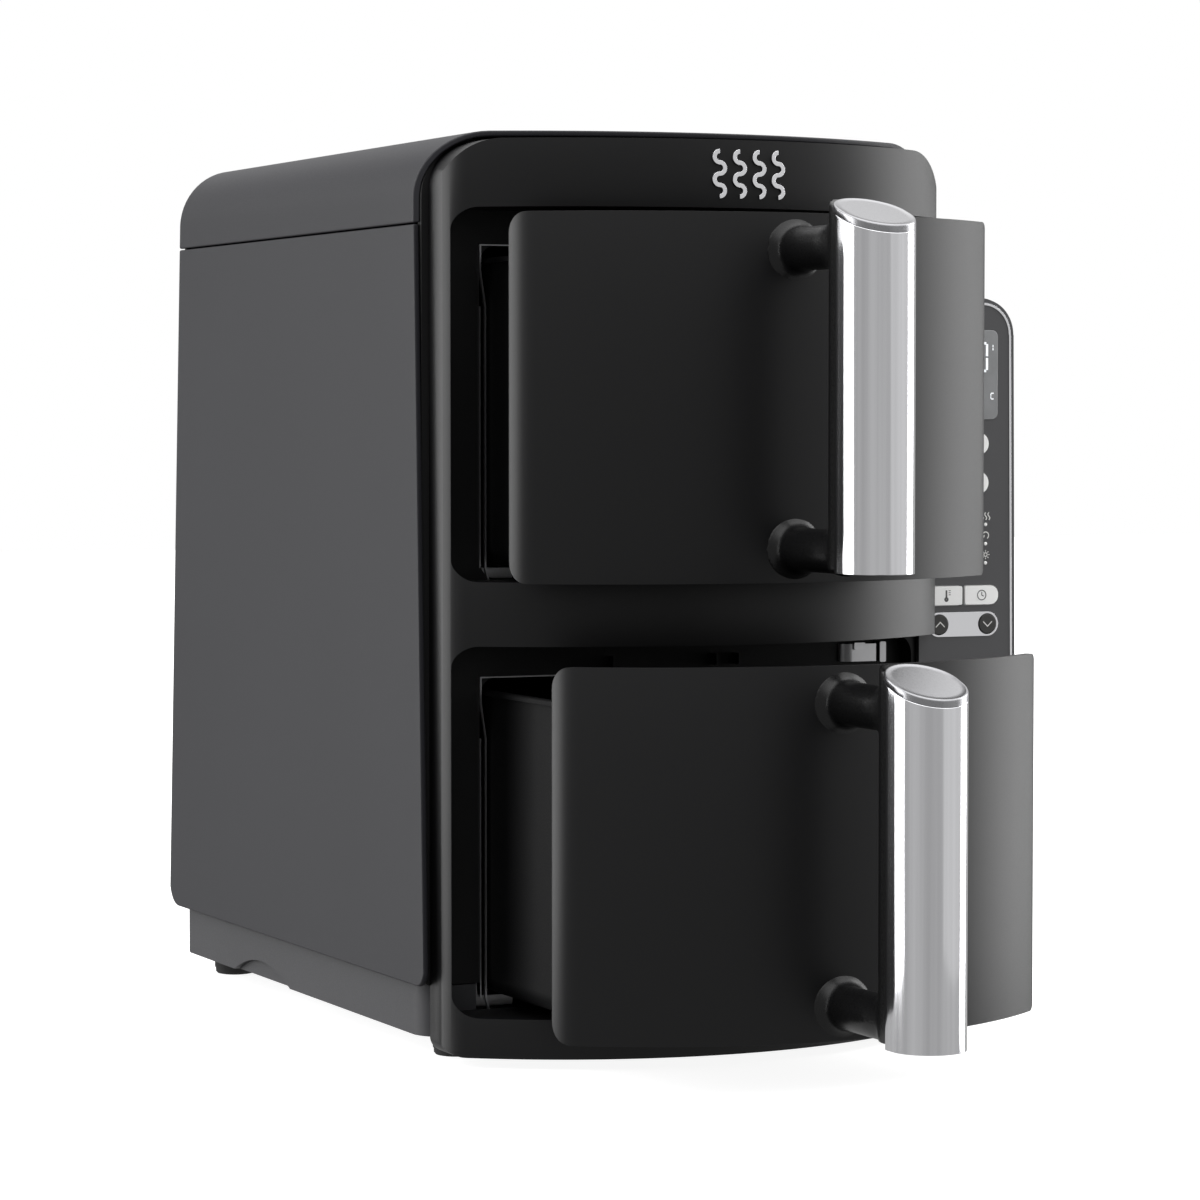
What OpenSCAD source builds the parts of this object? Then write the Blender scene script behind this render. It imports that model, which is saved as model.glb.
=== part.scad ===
// Two-drawer stacked air fryer, free-standing, with a control pod on its right.
// Sizes are in millimetres. +Z is up, the drawers pull out towards -Y, and +X is
// the right-hand side as the user sees it. The modules place everything from the
// plane of the drawer openings (y = 0); home() then moves the whole object so
// that its origin is the bottom centre of its bounding box.

/* [Body] */
// Width from the left wall to the outside of the control pod
body_w = 280; // [276:1:286]
// Height of the top cover above the table
body_h = 385; // [382:1:390]
// Width of the main shell without the pod
shell_w = 240; // [238:1:242]
// Distance from the drawer openings to the foot of the rear wall
shell_d = 333; // [330:1:340]
// How far the rear wall leans forward over its height
rear_lean = 19; // [10:1:19]
// Wall thickness of the painted covers
cover_t = 2.5; // [1.5:0.1:3]
// Radius of the long top edges
top_r = 27; // [20:1:28]
// Height of the seam between the top cover and the side panels
seam_z = 347; // [343:1:350]

/* [Front] */
// Radius of the bowed front, seen from above
bow_r = 178; // [174:1:190]
// Height of the bottom edge of the front frame
frame_z0 = 4.5; // [4:0.5:6]
// Height of one drawer opening
opening_h = 153; // [152.5:0.1:154]
// Height from one opening to the next
pitch = 179.3; // [179:0.1:180.5]
// Height of the lower edge of the lower opening
opening_z0 = 20.9; // [20:0.1:22]

/* [Drawers] */
// Width of a drawer front
drawer_w = 217.6; // [214:0.2:218]
// Height of a drawer front
drawer_h = 148.4; // [146:0.2:149]
// Depth of a basket
basket_d = 224; // [200:1:226]
// How far the upper drawer stands open at rest
upper_open = 45; // [0:1:120]
// How far the lower drawer stands open at rest
lower_open = 86.5; // [0:0.5:120]
// Distance from the opening plane to the middle of a handle bar
handle_reach = 104.4; // [95:0.1:110]
// Length of a handle bar
handle_h = 140; // [120:1:142]
// Slope of the cut across the top of a handle
cap_slope = 19.3; // [0:0.1:25]

/* [Control pod] */
// Height of the top of the pod
pod_top = 319.5; // [318:0.5:325]
// Radius of the pod's top corner
pod_r = 16; // [10:1:18]
// Travel of every push button
button_travel = 0.8; // [0.5:0.1:0.8]

/* [Hidden] */
$fn = 96;
LOWER = 0;
UPPER = 1;
end_steps = 7;

// Colours
shell_grey = "#4a4a4d";
satin_black = "#1d1d1f";
deep_black = "#0b0b0c";
base_grey = "#565659";
pod_grey = "#3d3d40";
steel = "#c9cbce";
silver = "#d9dadc";
white_key = "#f1f1ef";
nonstick = "#2a2a2c";
board_green = "#23603a";
copper = "#a8743a";
glass_grey = "#8d9091";

// Left and right limits of the parts, across the front
shell_x0 = -body_w / 2;
shell_x1 = shell_x0 + shell_w;
pod_x1 = body_w / 2;
drawer_x1 = 92.6;
drawer_x0 = drawer_x1 - drawer_w;
frame_x0 = shell_x0 + 5.8;
frame_x1 = 95;
stile_t = 2.9;
right_stile_x = 88;
right_stile_y = 8;

// Heights
frame_top = body_h - 4;
panel_z0 = 32;
drawer_z0 = opening_z0 + 0.9;
drawer_z1 = drawer_z0 + drawer_h;
basket_z0 = drawer_z0 + 4.4;
basket_z1 = drawer_z1 - 16;
liner_z1 = basket_z1 + 6.5;
fan_z = opening_z0 + opening_h / 2;
handle_z0 = drawer_z0 + 6;

// The bows. Each apex lies in front of the plane of the openings.
bow_x = -17.5;
bow_apex = -41;
drawer_bow_r = bow_r - 3;
drawer_apex = bow_apex + 1.5;
cover_bow_r = bow_r + 22;
cover_apex = bow_apex + 20;

// Depths
frame_y1 = 18;
side_front_y = 20;
skin_t = 3;
insert_y1 = 2;
liner_t = 1.2;
liner_y1 = 240;
grille_d = 13;
lean_angle = atan(rear_lean / (seam_z - panel_z0));

// Baskets and what lies in them
basket_t = 1.5;
basket_w = 178;
basket_x = -19;
liner_x0 = basket_x - basket_w / 2 - 4.8;
liner_x1 = basket_x + basket_w / 2 + 4.8;
basket_r = 26;
plate_gap = 4;
plate_t = 2;
plate_lift = 9;

// Fans
fan_r = 52;
shaft_r = 3;
shaft_fit = 0.05;
fan_y0 = 252;
motor_y0 = 279;
motor_l = 25;
motor_r = 27;

// Handles
bar_r = 15;
bar_flat = 4;
bar_t = 1.5;
arm_w = 18;
arm_h = 17.6;
screw_r = 2;

// Control panel
panel_x0 = 89.6;
panel_y0 = 5;
panel_t = 2.5;
panel_lean = 2.5;
pod_z0 = 25;
board_y = 22;
board_t = 1.6;
switch_gap = 0.6;
key_fit = 0.35;
key_proud = 0.8;

// Round keys: x, z, radius. Bar keys: x from, x to, z, height, corner radii.
zone_1_key = [104.5, 256, 4.8];
zone_2_key = [119.5, 256, 4.8];
sync_key = [104.5, 239, 4.8];
match_key = [119.5, 239, 4.8];
up_key = [100, 177.4, 4.2];
down_key = [124, 177.4, 4.2];
power_key = [112, 104, 7];
temp_key = [94.7, 111.3, 190, 8.2, [3.7, 0.8, 0.8, 3.7]];
time_key = [112.7, 129.3, 190, 8.2, [0.8, 3.7, 3.7, 0.8]];
start_key = [97, 127, 138, 12, [5.6, 5.6, 5.6, 5.6]];
round_keys = [zone_1_key, zone_2_key, sync_key, match_key, up_key, down_key, power_key];
bar_keys = [temp_key, time_key, start_key];

// The object's extremes along Y, which put its origin half-way between them
front_most = -(lower_open + handle_reach + bar_r + bar_flat / 2);
rear_most = shell_d + grille_d;
mid_y = (front_most + rear_most) / 2;

function rear_y(z) = shell_d - (z - panel_z0) * rear_lean / (seam_z - panel_z0);
function open_of(level) = level == UPPER ? upper_open : lower_open;

// Places and extrusions -------------------------------------------------------

module home() translate([0, -mid_y, 0]) children();
module at_level(level) translate([0, 0, level * pitch]) children();
module drawer_place(level) at_level(level) translate([0, -open_of(level), 0]) children();

// A flat outline swept along one axis between two planes
module along_x(x0, x1) translate([x0, 0, 0]) rotate([90, 0, 90]) linear_extrude(x1 - x0) children();
module along_y(y0, y1) translate([0, y1, 0]) rotate([90, 0, 0]) linear_extrude(y1 - y0) children();
module along_z(z0, z1) translate([0, 0, z0]) linear_extrude(z1 - z0) children();
module block(x, y, z) translate([x[0], y[0], z[0]]) cube([x[1] - x[0], y[1] - y[0], z[1] - z[0]]);
module rod_y(x, y, z, r) along_y(y[0], y[1]) translate([x, z]) circle(r);
module rear_wall_frame(x, z) translate([x, rear_y(z), z]) rotate([lean_angle, 0, 0]) children();

// Rectangle from (a0, b0) to (a1, b1) whose corners have the radii r, listed as
// lower left, lower right, upper right, upper left
module soft_rect(a0, a1, b0, b1, r) {
    corners = [[a0, b0, 1, 1], [a1, b0, -1, 1], [a1, b1, -1, -1], [a0, b1, 1, -1]];
    difference() {
        translate([a0, b0]) square([a1 - a0, b1 - b0]);
        for (i = [0:3]) if (r[i] > 0) corner_cut(corners[i], r[i]);
    }
}
module corner_cut(c, r) difference() {
    translate([c[2] > 0 ? c[0] - 1 : c[0] - r, c[3] > 0 ? c[1] - 1 : c[1] - r]) square(r + 1);
    translate([c[0] + c[2] * r, c[1] + c[3] * r]) circle(r);
}
function same(r) = [r, r, r, r];

// Plan of a bowed part: an arc across the front, eased into both end walls
module bow_outline(r, apex, x0, x1, y1, end_r) {
    cy = apex + r;
    difference() {
        intersection() {
            translate([bow_x, cy]) circle(r, $fn = 180);
            translate([x0, apex - 1]) square([x1 - x0, y1 - apex + 1]);
        }
        for (end = [[x0, 1, end_r[0]], [x1, -1, end_r[1]]]) if (end[2] > 0) end_cut(end, cy, r);
    }
}

// What the easing takes off one end: end holds the wall's x, its inward sign and the radius
module end_cut(end, cy, r) {
    x = end[0] + end[1] * end[2];
    middle = [x, cy - sqrt(pow(r - end[2], 2) - pow(x - bow_x, 2))];
    dir = (middle - [bow_x, cy]) / (r - end[2]);
    from = end[1] > 0 ? 180 : 360;
    to = 360 + atan2(dir[1], dir[0]);
    arc = [for (k = [0:end_steps]) middle + end[2] * spoke(from + (to - from) * k / end_steps)];
    tip = arc[end_steps] + 3 * dir;
    beyond = end[0] - 3 * end[1];
    polygon(concat([[beyond, middle[1]]], arc, [tip, [beyond, tip[1]]]));
}
function spoke(a) = [cos(a), sin(a)];

// Covers ----------------------------------------------------------------------

// Outline of the main shell from the front, inset by d
module shell_outline(d, z0) soft_rect(shell_x0 + d, shell_x1 - d, z0, body_h - d,
    [0, 0, top_r - d, top_r - d]);

// Everything in front of the leaning rear wall, inset by d
module before_rear(d) along_x(shell_x0 - 10, pod_x1 + 10) polygon([
    [-60, 0], [rear_y(0) - d, 0], [rear_y(body_h + 20) - d, body_h + 20], [-60, body_h + 20]]);

module top_cover() color(shell_grey) home() intersection() {
    along_y(-30, shell_d) difference() {
        shell_outline(0, seam_z + 0.6);
        shell_outline(cover_t, seam_z);
    }
    along_z(seam_z, body_h + 1)
        bow_outline(cover_bow_r, cover_apex, shell_x0 - 1, shell_x1 + 1, shell_d + 1, [0, 0]);
    before_rear(0);
}

// Side panel from the side: slanted front edge, leaning rear edge, round lower corners
module side_outline() difference() {
    polygon([[11, panel_z0], [rear_y(panel_z0), panel_z0], [rear_y(seam_z), seam_z], [side_front_y, seam_z]]);
    corner_cut([11, panel_z0, 1, 1], 8);
    corner_cut([rear_y(panel_z0), panel_z0, -1, 1], 12);
}
module left_side_panel() color(shell_grey) home() along_x(shell_x0, shell_x0 + cover_t) side_outline();

// The right panel has a window through which the pod's wires pass
module right_side_panel() color(shell_grey) home() difference() {
    along_x(shell_x1 - cover_t, shell_x1) side_outline();
    along_x(shell_x1 - 10, shell_x1 + 10) soft_rect(40, 90, 215, 255, same(8));
}

// Leaning rear wall with the vent window, the cord hole and a lip under the top cover
module rear_cover() color(satin_black) home() difference() {
    intersection() {
        along_y(200, shell_d + 10) shell_outline(cover_t + 0.1, panel_z0 + 0.4);
        difference() {
            before_rear(0.6);
            before_rear(0.6 + cover_t);
        }
    }
    along_y(200, shell_d + 20) soft_rect(bow_x - 66, bow_x + 66, 74, 340, same(6));
    rear_wall_frame(cord_x, cord_z) rod_y(0, [-10, 10], 0, cord_hole_r);
    for (x = screw_x, z = screw_z) rear_wall_frame(x, z) rod_y(0, [-10, 10], 0, 1.8);
}
screw_x = [shell_x0 + 14, shell_x1 - 14];
screw_z = [44, 190, 330];
cord_x = 62;
cord_z = 48;
cord_hole_r = 8;

// Exhaust hood: a hollow spacer that keeps the vents clear of a wall
grille_x = [bow_x - 76, bow_x + 76];
grille_z = [64, 350];
module rear_grille() color(satin_black) home() difference() {
    intersection() {
        along_y(280, rear_most) soft_rect(grille_x[0], grille_x[1], grille_z[0], grille_z[1], same(10));
        difference() {
            along_z(0, body_h) square(800, center = true);
            before_rear(0.6);
        }
    }
    along_y(280, rear_most - 2.4) soft_rect(grille_x[0] + 2.4, grille_x[1] - 2.4,
        grille_z[0] + 2.4, grille_z[1] - 2.4, same(8));
    for (z = [grille_z[0] + 16 : 14 : grille_z[1] - 16])
        block([grille_x[0] + 12, grille_x[1] - 12], [rear_most - 10, rear_most + 1], [z - 3, z + 3]);
}

// Tray under the body with a finger arch in each side
base_x = [shell_x0 + 4, shell_x1 - 4];
base_z = [10, 31.6];
base_t = 4;
module base_tub() color(base_grey) home() difference() {
    intersection() {
        along_z(base_z[0], base_z[1]) soft_rect(base_x[0], base_x[1], 18.4, shell_d - 6, same(14));
        along_x(base_x[0] - 1, base_x[1] + 1) soft_rect(18, shell_d - 6, base_z[0], base_z[1] + 20, [3, 14, 0, 0]);
    }
    along_z(base_z[0] + 3, base_z[1] + 1)
        soft_rect(base_x[0] + base_t, base_x[1] - base_t, 18.4 + base_t, shell_d - 6 - base_t, same(10));
    for (x = base_x) along_x(x - 2.6, x + 2.6) translate([215, base_z[0] - 80]) circle(88);
    block([liner_x0 - 0.4, liner_x1 + 0.4], [18, 24], [opening_z0 - 1.5, base_z[1] + 1]);
}

foot_x = [-115.5, 75.5];
foot_y = [34, 307];
module rubber_feet() color(deep_black) home() for (x = foot_x, y = foot_y) {
    translate([x, y, 0]) cylinder(h = 3, r = 9.4);
    translate([x, y, 3]) cylinder(h = base_z[0] - 3, r = 10);
}

// Front -----------------------------------------------------------------------

// Dark plate behind the front frame, with a window for each oven box
plate_y1 = frame_y1 + 4;
module face_plate() color(deep_black) home() along_y(frame_y1, plate_y1) difference() {
    soft_rect(shell_x0 + 2.6, shell_x1 - 2.6, panel_z0, body_h - 2.6, [4, 4, top_r - 2.6, top_r - 2.6]);
    for (z = [0, pitch]) soft_rect(liner_x0 + liner_t, liner_x1 - liner_t,
        opening_z0 + 0.2 + z, liner_z1 - liner_t + z, same(8));
}

// Bowed moulding: header, cross-member and sill run free to the right, past a set-back stile
openings_z1 = opening_z0 + opening_h;
frame_bars = [[frame_z0, opening_z0], [openings_z1, opening_z0 + pitch], [openings_z1 + pitch, frame_top]];
module frame_plan() bow_outline(bow_r, bow_apex, frame_x0, frame_x1, frame_y1, [12, 3]);
module front_frame() color(satin_black) home() difference() {
    union() {
        for (bar = frame_bars) along_z(bar[0], bar[1]) frame_plan();
        along_z(frame_z0, frame_top) intersection() {
            frame_plan();
            translate([frame_x0, -30]) square([stile_t, 60]);
        }
        block([right_stile_x, frame_x1], [right_stile_y, frame_y1], [frame_z0 + 2, frame_top - 2]);
        for (level = [LOWER, UPPER]) at_level(level) along_y(right_stile_y, frame_y1) difference() {
            translate([frame_x0 + 1, opening_z0 - 1]) square([right_stile_x - frame_x0, opening_h + 2]);
            soft_rect(frame_x0 + stile_t, right_stile_x, opening_z0, openings_z1, same(9));
        }
    }
    along_y(bow_apex - 1, frame_y1 + 1) {
        corner_cut([frame_x0, frame_top, 1, -1], 20);
        corner_cut([frame_x1, frame_top, -1, -1], 20);
        corner_cut([frame_x0, frame_z0, 1, 1], 7);
        corner_cut([frame_x1, frame_z0, -1, 1], 5);
    }
    for (bar = frame_bars) along_z(bar[0] + skin_t, bar[1] - skin_t)
        bow_outline(bow_r - skin_t, bow_apex + skin_t, frame_x0 + 16, frame_x1 - 17, frame_y1 + 1, [0, 0]);
    block([panel_x0 - 0.4, 100], [panel_y0 - 1, panel_y0 + panel_t + 0.1], [pod_z0 - 1, pod_top + 1]);
    block([temp_key[0] - 1.2, 100], [panel_y0, frame_y1 + 1], [pod_z0 - 1, pod_top + 1]);
}

// Generic emblem on the header: four upright heat waves in raised metal
module badge() color(silver) home() intersection() {
    along_y(bow_apex - 5, -20) for (i = [-1.5:1.5]) translate([bow_x + 1 + i * 9, frame_top - 14]) heat_wave();
    along_z(300, body_h) difference() {
        bow_outline(bow_r + 0.9, bow_apex - 0.9, -80, 60, 0, [0, 0]);
        bow_outline(bow_r, bow_apex, -82, 62, 1, [0, 0]);
    }
}
module heat_wave() for (k = [0:3]) translate([0, (k - 1.5) * 4.6]) intersection() {
    difference() {
        circle(3.2);
        circle(1.4);
    }
    translate([k % 2 == 0 ? 0 : -6, -6]) square([6, 12]);
}

// Inside the body -------------------------------------------------------------

// Sheet-metal oven box with the fan's hole in its rear wall
module liner(level) color(nonstick) home() at_level(level) difference() {
    block([liner_x0, liner_x1], [plate_y1 + 0.2, liner_y1 + liner_t], [opening_z0 - 1.1, liner_z1]);
    block([liner_x0 + liner_t, liner_x1 - liner_t], [0, liner_y1],
        [opening_z0 - 1.1 + liner_t, liner_z1 - liner_t]);
    rod_y(bow_x, [liner_y1 - 1, liner_y1 + 3], fan_z, fan_r + 4);
}
module upper_liner() liner(UPPER);
module lower_liner() liner(LOWER);

// Deck between the two oven boxes, folded down at its edges
module mid_deck() color(steel) home() difference() {
    block([shell_x0 + 2.6, shell_x1 - 2.6], [24, liner_y1], [opening_z0 + opening_h + 4, opening_z0 + pitch - 4]);
    block([shell_x0 + 4, shell_x1 - 4], [20, liner_y1 + 4], [opening_z0 + opening_h, opening_z0 + pitch - 5.5]);
}

// Two angle rails in each box carry and guide a basket
module drawer_rails() color(steel) home() for (level = [LOWER, UPPER]) at_level(level)
    for (side = [1, -1]) translate([basket_x, 0, 0]) mirror([side < 0 ? 1 : 0, 0, 0]) {
        block([basket_w / 2 - 14, basket_w / 2 + 3.4], [24, liner_y1 - 6], [opening_z0 + 0.2, basket_z0 - 0.4]);
        block([basket_w / 2 + 2.2, basket_w / 2 + 3.4], [24, liner_y1 - 6], [basket_z0 - 0.4, basket_z0 + 34]);
    }

// Ring heaters: three turns, two links and two terminals that pass the shroud
module heating_elements() color("#5b5a58") home() for (level = [LOWER, UPPER]) at_level(level) {
    translate([bow_x, heater_y, fan_z]) rotate([90, 0, 0]) {
        for (r = [27, 38, 49]) rotate_extrude() translate([r, 0]) circle(2.8);
        for (r = [[27, 38], [38, 49]]) rotate([0, 90, 60]) translate([0, 0, r[0]]) cylinder(h = r[1] - r[0], r = 2.4);
        for (a = [90, 270]) rotate([0, a, 0]) translate([0, 0, 49]) cylinder(h = terminal_x - 49, r = 2.4);
    }
    for (s = [-1, 1]) rod_y(bow_x + s * terminal_x, [heater_y - 2, liner_y1 + 42], fan_z, 2.4);
}
heater_y = 246;
terminal_x = 60;

// Flat guard with rings of slots in front of each fan
module fan_guards() color(steel) home() for (level = [LOWER, UPPER]) at_level(level) difference() {
    rod_y(bow_x, [liner_y1 - 1.6, liner_y1], fan_z, fan_r + 10);
    for (ring = [1:5], k = [0 : ring * 6 - 1]) rotate_about_fan(k * 60 / ring)
        rod_y(bow_x + ring * 10, [liner_y1 - 4, liner_y1 + 4], fan_z, 3.6);
}
module rotate_about_fan(a) translate([bow_x, 0, fan_z]) rotate([0, a, 0]) translate([-bow_x, 0, -fan_z]) children();

// Pressed cup behind each fan; three bosses hold the motor
module fan_shrouds() color(steel) home() for (level = [LOWER, UPPER]) at_level(level) difference() {
    union() {
        rod_y(bow_x, [liner_y1 + liner_t, motor_y0 - 3], fan_z, fan_r + 16);
        for (a = [30 : 120 : 270]) rotate_about_fan(a) rod_y(bow_x + 20, [motor_y0 - 4, motor_y0], fan_z, 4);
    }
    rod_y(bow_x, [liner_y1, motor_y0 - 4.2], fan_z, fan_r + 14.8);
    rod_y(bow_x, [liner_y1, motor_y0 + 4], fan_z, 7);
    for (s = [-1, 1]) rod_y(bow_x + s * terminal_x, [liner_y1, motor_y0 + 4], fan_z, 4);
}

module fan_motors() color("#3a3b3d") home() for (level = [LOWER, UPPER]) at_level(level) difference() {
    union() {
        rod_y(bow_x, [motor_y0, motor_y0 + motor_l], fan_z, motor_r);
        rod_y(bow_x, [motor_y0 + motor_l, motor_y0 + motor_l + 3], fan_z, 10);
    }
    rod_y(bow_x, [motor_y0 - 1, motor_y0 + motor_l + 4], fan_z, shaft_r + shaft_fit);
}

// Turning parts: bladed disc and its shaft
module fan(level) color(steel) home() at_level(level) difference() {
    union() {
        rod_y(bow_x, [fan_y0, fan_y0 + 15], fan_z, 9);
        rod_y(bow_x, [fan_y0 + 14, fan_y0 + 15], fan_z, fan_r);
        for (a = [0 : 36 : 324]) rotate_about_fan(a)
            block([bow_x + 8, bow_x + fan_r - 1], [fan_y0, fan_y0 + 14.5], [fan_z - 0.6, fan_z + 0.6]);
    }
    rod_y(bow_x, [fan_y0 - 1, fan_y0 + 16], fan_z, shaft_r);
}
module fan_shaft(level) color(silver) home() at_level(level) rod_y(bow_x, [fan_y0 + 1, motor_y0 + motor_l + 6], fan_z, shaft_r);

module temperature_probes() color(silver) home() for (level = [LOWER, UPPER]) at_level(level) {
    rod_y(60, [liner_y1 - 9, liner_y1], fan_z + 58, 2);
    rod_y(60, [liner_y1 + liner_t, liner_y1 + 12], fan_z + 58, 4);
}

module drawer_switches() color(satin_black) home() for (level = [LOWER, UPPER]) at_level(level) {
    block([58, 70], [liner_y1 + liner_t, liner_y1 + 20], [fan_z - 62, fan_z - 42]);
    block([61, 67], [liner_y1 + 20, liner_y1 + 24], [fan_z - 58, fan_z - 55]);
}

// Grommet through which the mains lead enters
module cord_gland() color(deep_black) home() rear_wall_frame(cord_x, cord_z) difference() {
    union() {
        rod_y(0, [-0.4, 5.4], 0, 12);
        rod_y(0, [-9, -0.4], 0, cord_hole_r - 0.2);
    }
    rod_y(0, [-10, 6], 0, 3.6);
}

module case_screws() color(steel) home() for (x = screw_x, z = screw_z)
    rear_wall_frame(x, z) {
        rod_y(0, [-0.5, 1.4], 0, 3.8);
        rod_y(0, [-8, -0.5], 0, 1.6);
    }

// Mains board in the pod: relay, capacitor and transformer
module power_board() color(board_green) home() {
    block([104, 105.6], [32, 104], [50, 190]);
    block([105.6, 124], [40, 66], [60, 92]);
    block([105.6, 118], [74, 94], [64, 90]);
    translate([105.6, 50, 120]) rotate([0, 90, 0]) cylinder(h = 22, r = 11);
    block([105.6, 118], [72, 96], [110, 150]);
}

// Control pod -----------------------------------------------------------------

// Outline of the pod from the front, inset by d; its outer edge leans a little
module pod_outline(d) intersection() {
    soft_rect(panel_x0 + d, pod_x1 + 20, pod_z0 + d, pod_top - d, [3, 0, 0, pod_r - d]);
    difference() {
        polygon([[0, 0], [pod_x1 - d, 0], [pod_x1 - d, pod_z0], [pod_x1 - panel_lean - d, pod_top + 1], [0, pod_top + 1]]);
        corner_cut([pod_x1 - panel_lean - d, pod_top - d, -1, -1], pod_r - d);
    }
}

// Housing beside the shell, open towards the side panel and tapered into it at the rear
module pod_housing() color(pod_grey) home() difference() {
    pod_body(0);
    pod_body(2.4);
}
module pod_body(d) intersection() {
    along_z(pod_z0 + d, pod_top - d) pod_plan(d);
    along_y(0, 200) pod_outline(d);
}
module pod_plan(d) polygon([
    [shell_x1 + 0.2 - d, panel_y0 + panel_t - d], [pod_x1 + 1, panel_y0 + panel_t - d],
    [pod_x1 + 1, 60 - d], [shell_x1 + 2.4, 156 - 3 * d], [shell_x1 + 0.2 - d, 156 - 3 * d]]);

module key_outline(key, fit) {
    if (len(key) == 3) translate([key[0], key[1]]) circle(key[2] + fit);
    else soft_rect(key[0] - fit, key[1] + fit, key[2] - key[3] / 2 - fit, key[2] + key[3] / 2 + fit,
        key[4]);
}

module control_panel() color(pod_grey) home() along_y(panel_y0, panel_y0 + panel_t) difference() {
    pod_outline(0.6);
    for (key = concat(round_keys, bar_keys)) key_outline(key, key_fit);
    soft_rect(display[0] - 0.1, display[1] + 0.1, display[2] - 0.1, display[3] + 0.1, same(3.1));
}
display = [95, 129, 266.5, 305.5];

// Bright line around the panel and the bright plate around the arrow keys
module panel_trim() color(silver) home() {
    along_y(panel_y0 - 0.4, panel_y0) intersection() {
        difference() {
            pod_outline(2.2);
            pod_outline(3.2);
        }
        translate([100, pod_z0 + 4]) square([60, pod_top]);
    }
    along_y(panel_y0 - 0.5, panel_y0) difference() {
        soft_rect(94.5, 129.5, 172.1, 182.7, same(5.29));
        for (key = [up_key, down_key]) key_outline(key, key_fit);
    }
}

module display_window() color(glass_grey) home() along_y(panel_y0 - 0.3, panel_y0 + panel_t)
    soft_rect(display[0], display[1], display[2], display[3], same(3));

// Key board with one tact switch behind each key
module control_board() color(board_green) home() {
    block([shell_x1 + 0.6, 134], [board_y, board_y + board_t], [92, 300]);
    for (key = concat(round_keys, bar_keys)) block([key_x(key) - 2, key_x(key) + 2],
        [board_y - 3, board_y], [key_z(key) - 2, key_z(key) + 2]);
}
function key_x(key) = len(key) == 3 ? max(key[0], shell_x1 + 3) : (key[0] + key[1]) / 2;
function key_z(key) = len(key) == 3 ? key[1] : key[2];

// A key: cap, retaining flange behind the panel and a stem that ends above its switch
module key_button(key, colour, proud = key_proud) color(colour) home() {
    along_y(panel_y0 - proud, panel_y0 + panel_t + 0.5) key_outline(key, 0);
    along_y(panel_y0 + panel_t + 0.5, panel_y0 + panel_t + 1.7)
        intersection() {
            key_outline(key, 0.6);
            translate([frame_x1 + 3.2, 0]) square([60, 400]);
        }
    rod_y(key_x(key), [panel_y0 + panel_t + 1.7, board_y - 3 - button_travel - switch_gap], key_z(key), 1.6);
}

// Drawers ---------------------------------------------------------------------

// Bowed plastic skin that wraps round the left end and stops square at the right
module drawer_front(level) color(satin_black) home() drawer_place(level) difference() {
    drawer_skin(drawer_z0, drawer_z1, 0, insert_y1);
    along_y(-60, 20) {
        corner_cut([drawer_x0, drawer_z1, 1, -1], 8);
        corner_cut([drawer_x0, drawer_z0, 1, 1], 8);
    }
    drawer_skin(drawer_z0 + skin_t, drawer_z1 + 1, skin_t, insert_y1 + 1);
    for (z = arm_z) rod_y(bow_x, [-60, 0], z, screw_r + 0.2);
}
module drawer_skin(z0, z1, d, y1) along_z(z0, z1)
    bow_outline(drawer_bow_r - d, drawer_apex + d, drawer_x0 + d, drawer_x1 - d, y1, [d > 0 ? 0 : 6, 0]);

// Moulding behind the skin, open to the rear, that the basket is screwed to
module drawer_insert(level) color(deep_black) home() drawer_place(level) difference() {
    intersection() {
        drawer_skin(drawer_z0 + skin_t, drawer_z1 - 4, skin_t, insert_y1);
        block([drawer_x0, right_stile_x - 1], [-60, insert_y1], [0, 300]);
    }
    drawer_skin(drawer_z0 + skin_t + 2.4, drawer_z1 - 6.4, skin_t + 3, insert_y1 + 1);
    for (z = arm_z) rod_y(bow_x, [-60, 0], z, 4.4);
}

basket_x0 = basket_x - basket_w / 2;
basket_x1 = basket_x + basket_w / 2;
module basket_outline(d) soft_rect(basket_x0 + d, basket_x1 - d, insert_y1 + d, insert_y1 + basket_d - d,
    [12 - d / 2, 12 - d / 2, basket_r - d, basket_r - d]);

// Deep-drawn basket with a rolled rim
module basket(level) color(nonstick) home() drawer_place(level) difference() {
    union() {
        along_z(basket_z0, basket_z1) basket_outline(0);
        along_z(basket_z1 - 2, basket_z1) intersection() {
            basket_outline(-2);
            translate([basket_x0 - 4, insert_y1]) square([basket_w + 8, basket_d + 1]);
        }
    }
    along_z(basket_z0 + basket_t, basket_z1 + 1) basket_outline(basket_t);
}

// C-shaped grip bracket: two round-edged arms and the strip behind the steel
handle_y = -handle_reach;
arm_z = [handle_z0 + 7.6, handle_z0 + 127.6];
handle_z1 = handle_z0 + handle_h;
module handle_bracket(level) color(satin_black) home() drawer_place(level) difference() {
    union() {
        for (z = arm_z) along_y(handle_y + 12, bow_apex + 3)
            soft_rect(bow_x - arm_w / 2, bow_x + arm_w / 2, z - arm_h / 2, z + arm_h / 2, same(arm_h / 2 - 0.2));
        difference() {
            along_z(handle_z0, handle_z1 + 12) {
                soft_rect(bow_x - 8.6, bow_x + 8.6, handle_y - 4, handle_y + 25, [2, 2, 6, 6]);
                bar_outline(bar_t);
            }
            above_cap_cut(-3);
        }
    }
    along_z(0, 300) translate([bow_x, drawer_apex + drawer_bow_r]) circle(drawer_bow_r, $fn = 180);
    for (z = arm_z) rod_y(bow_x, [-64, -20], z, screw_r);
}

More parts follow.
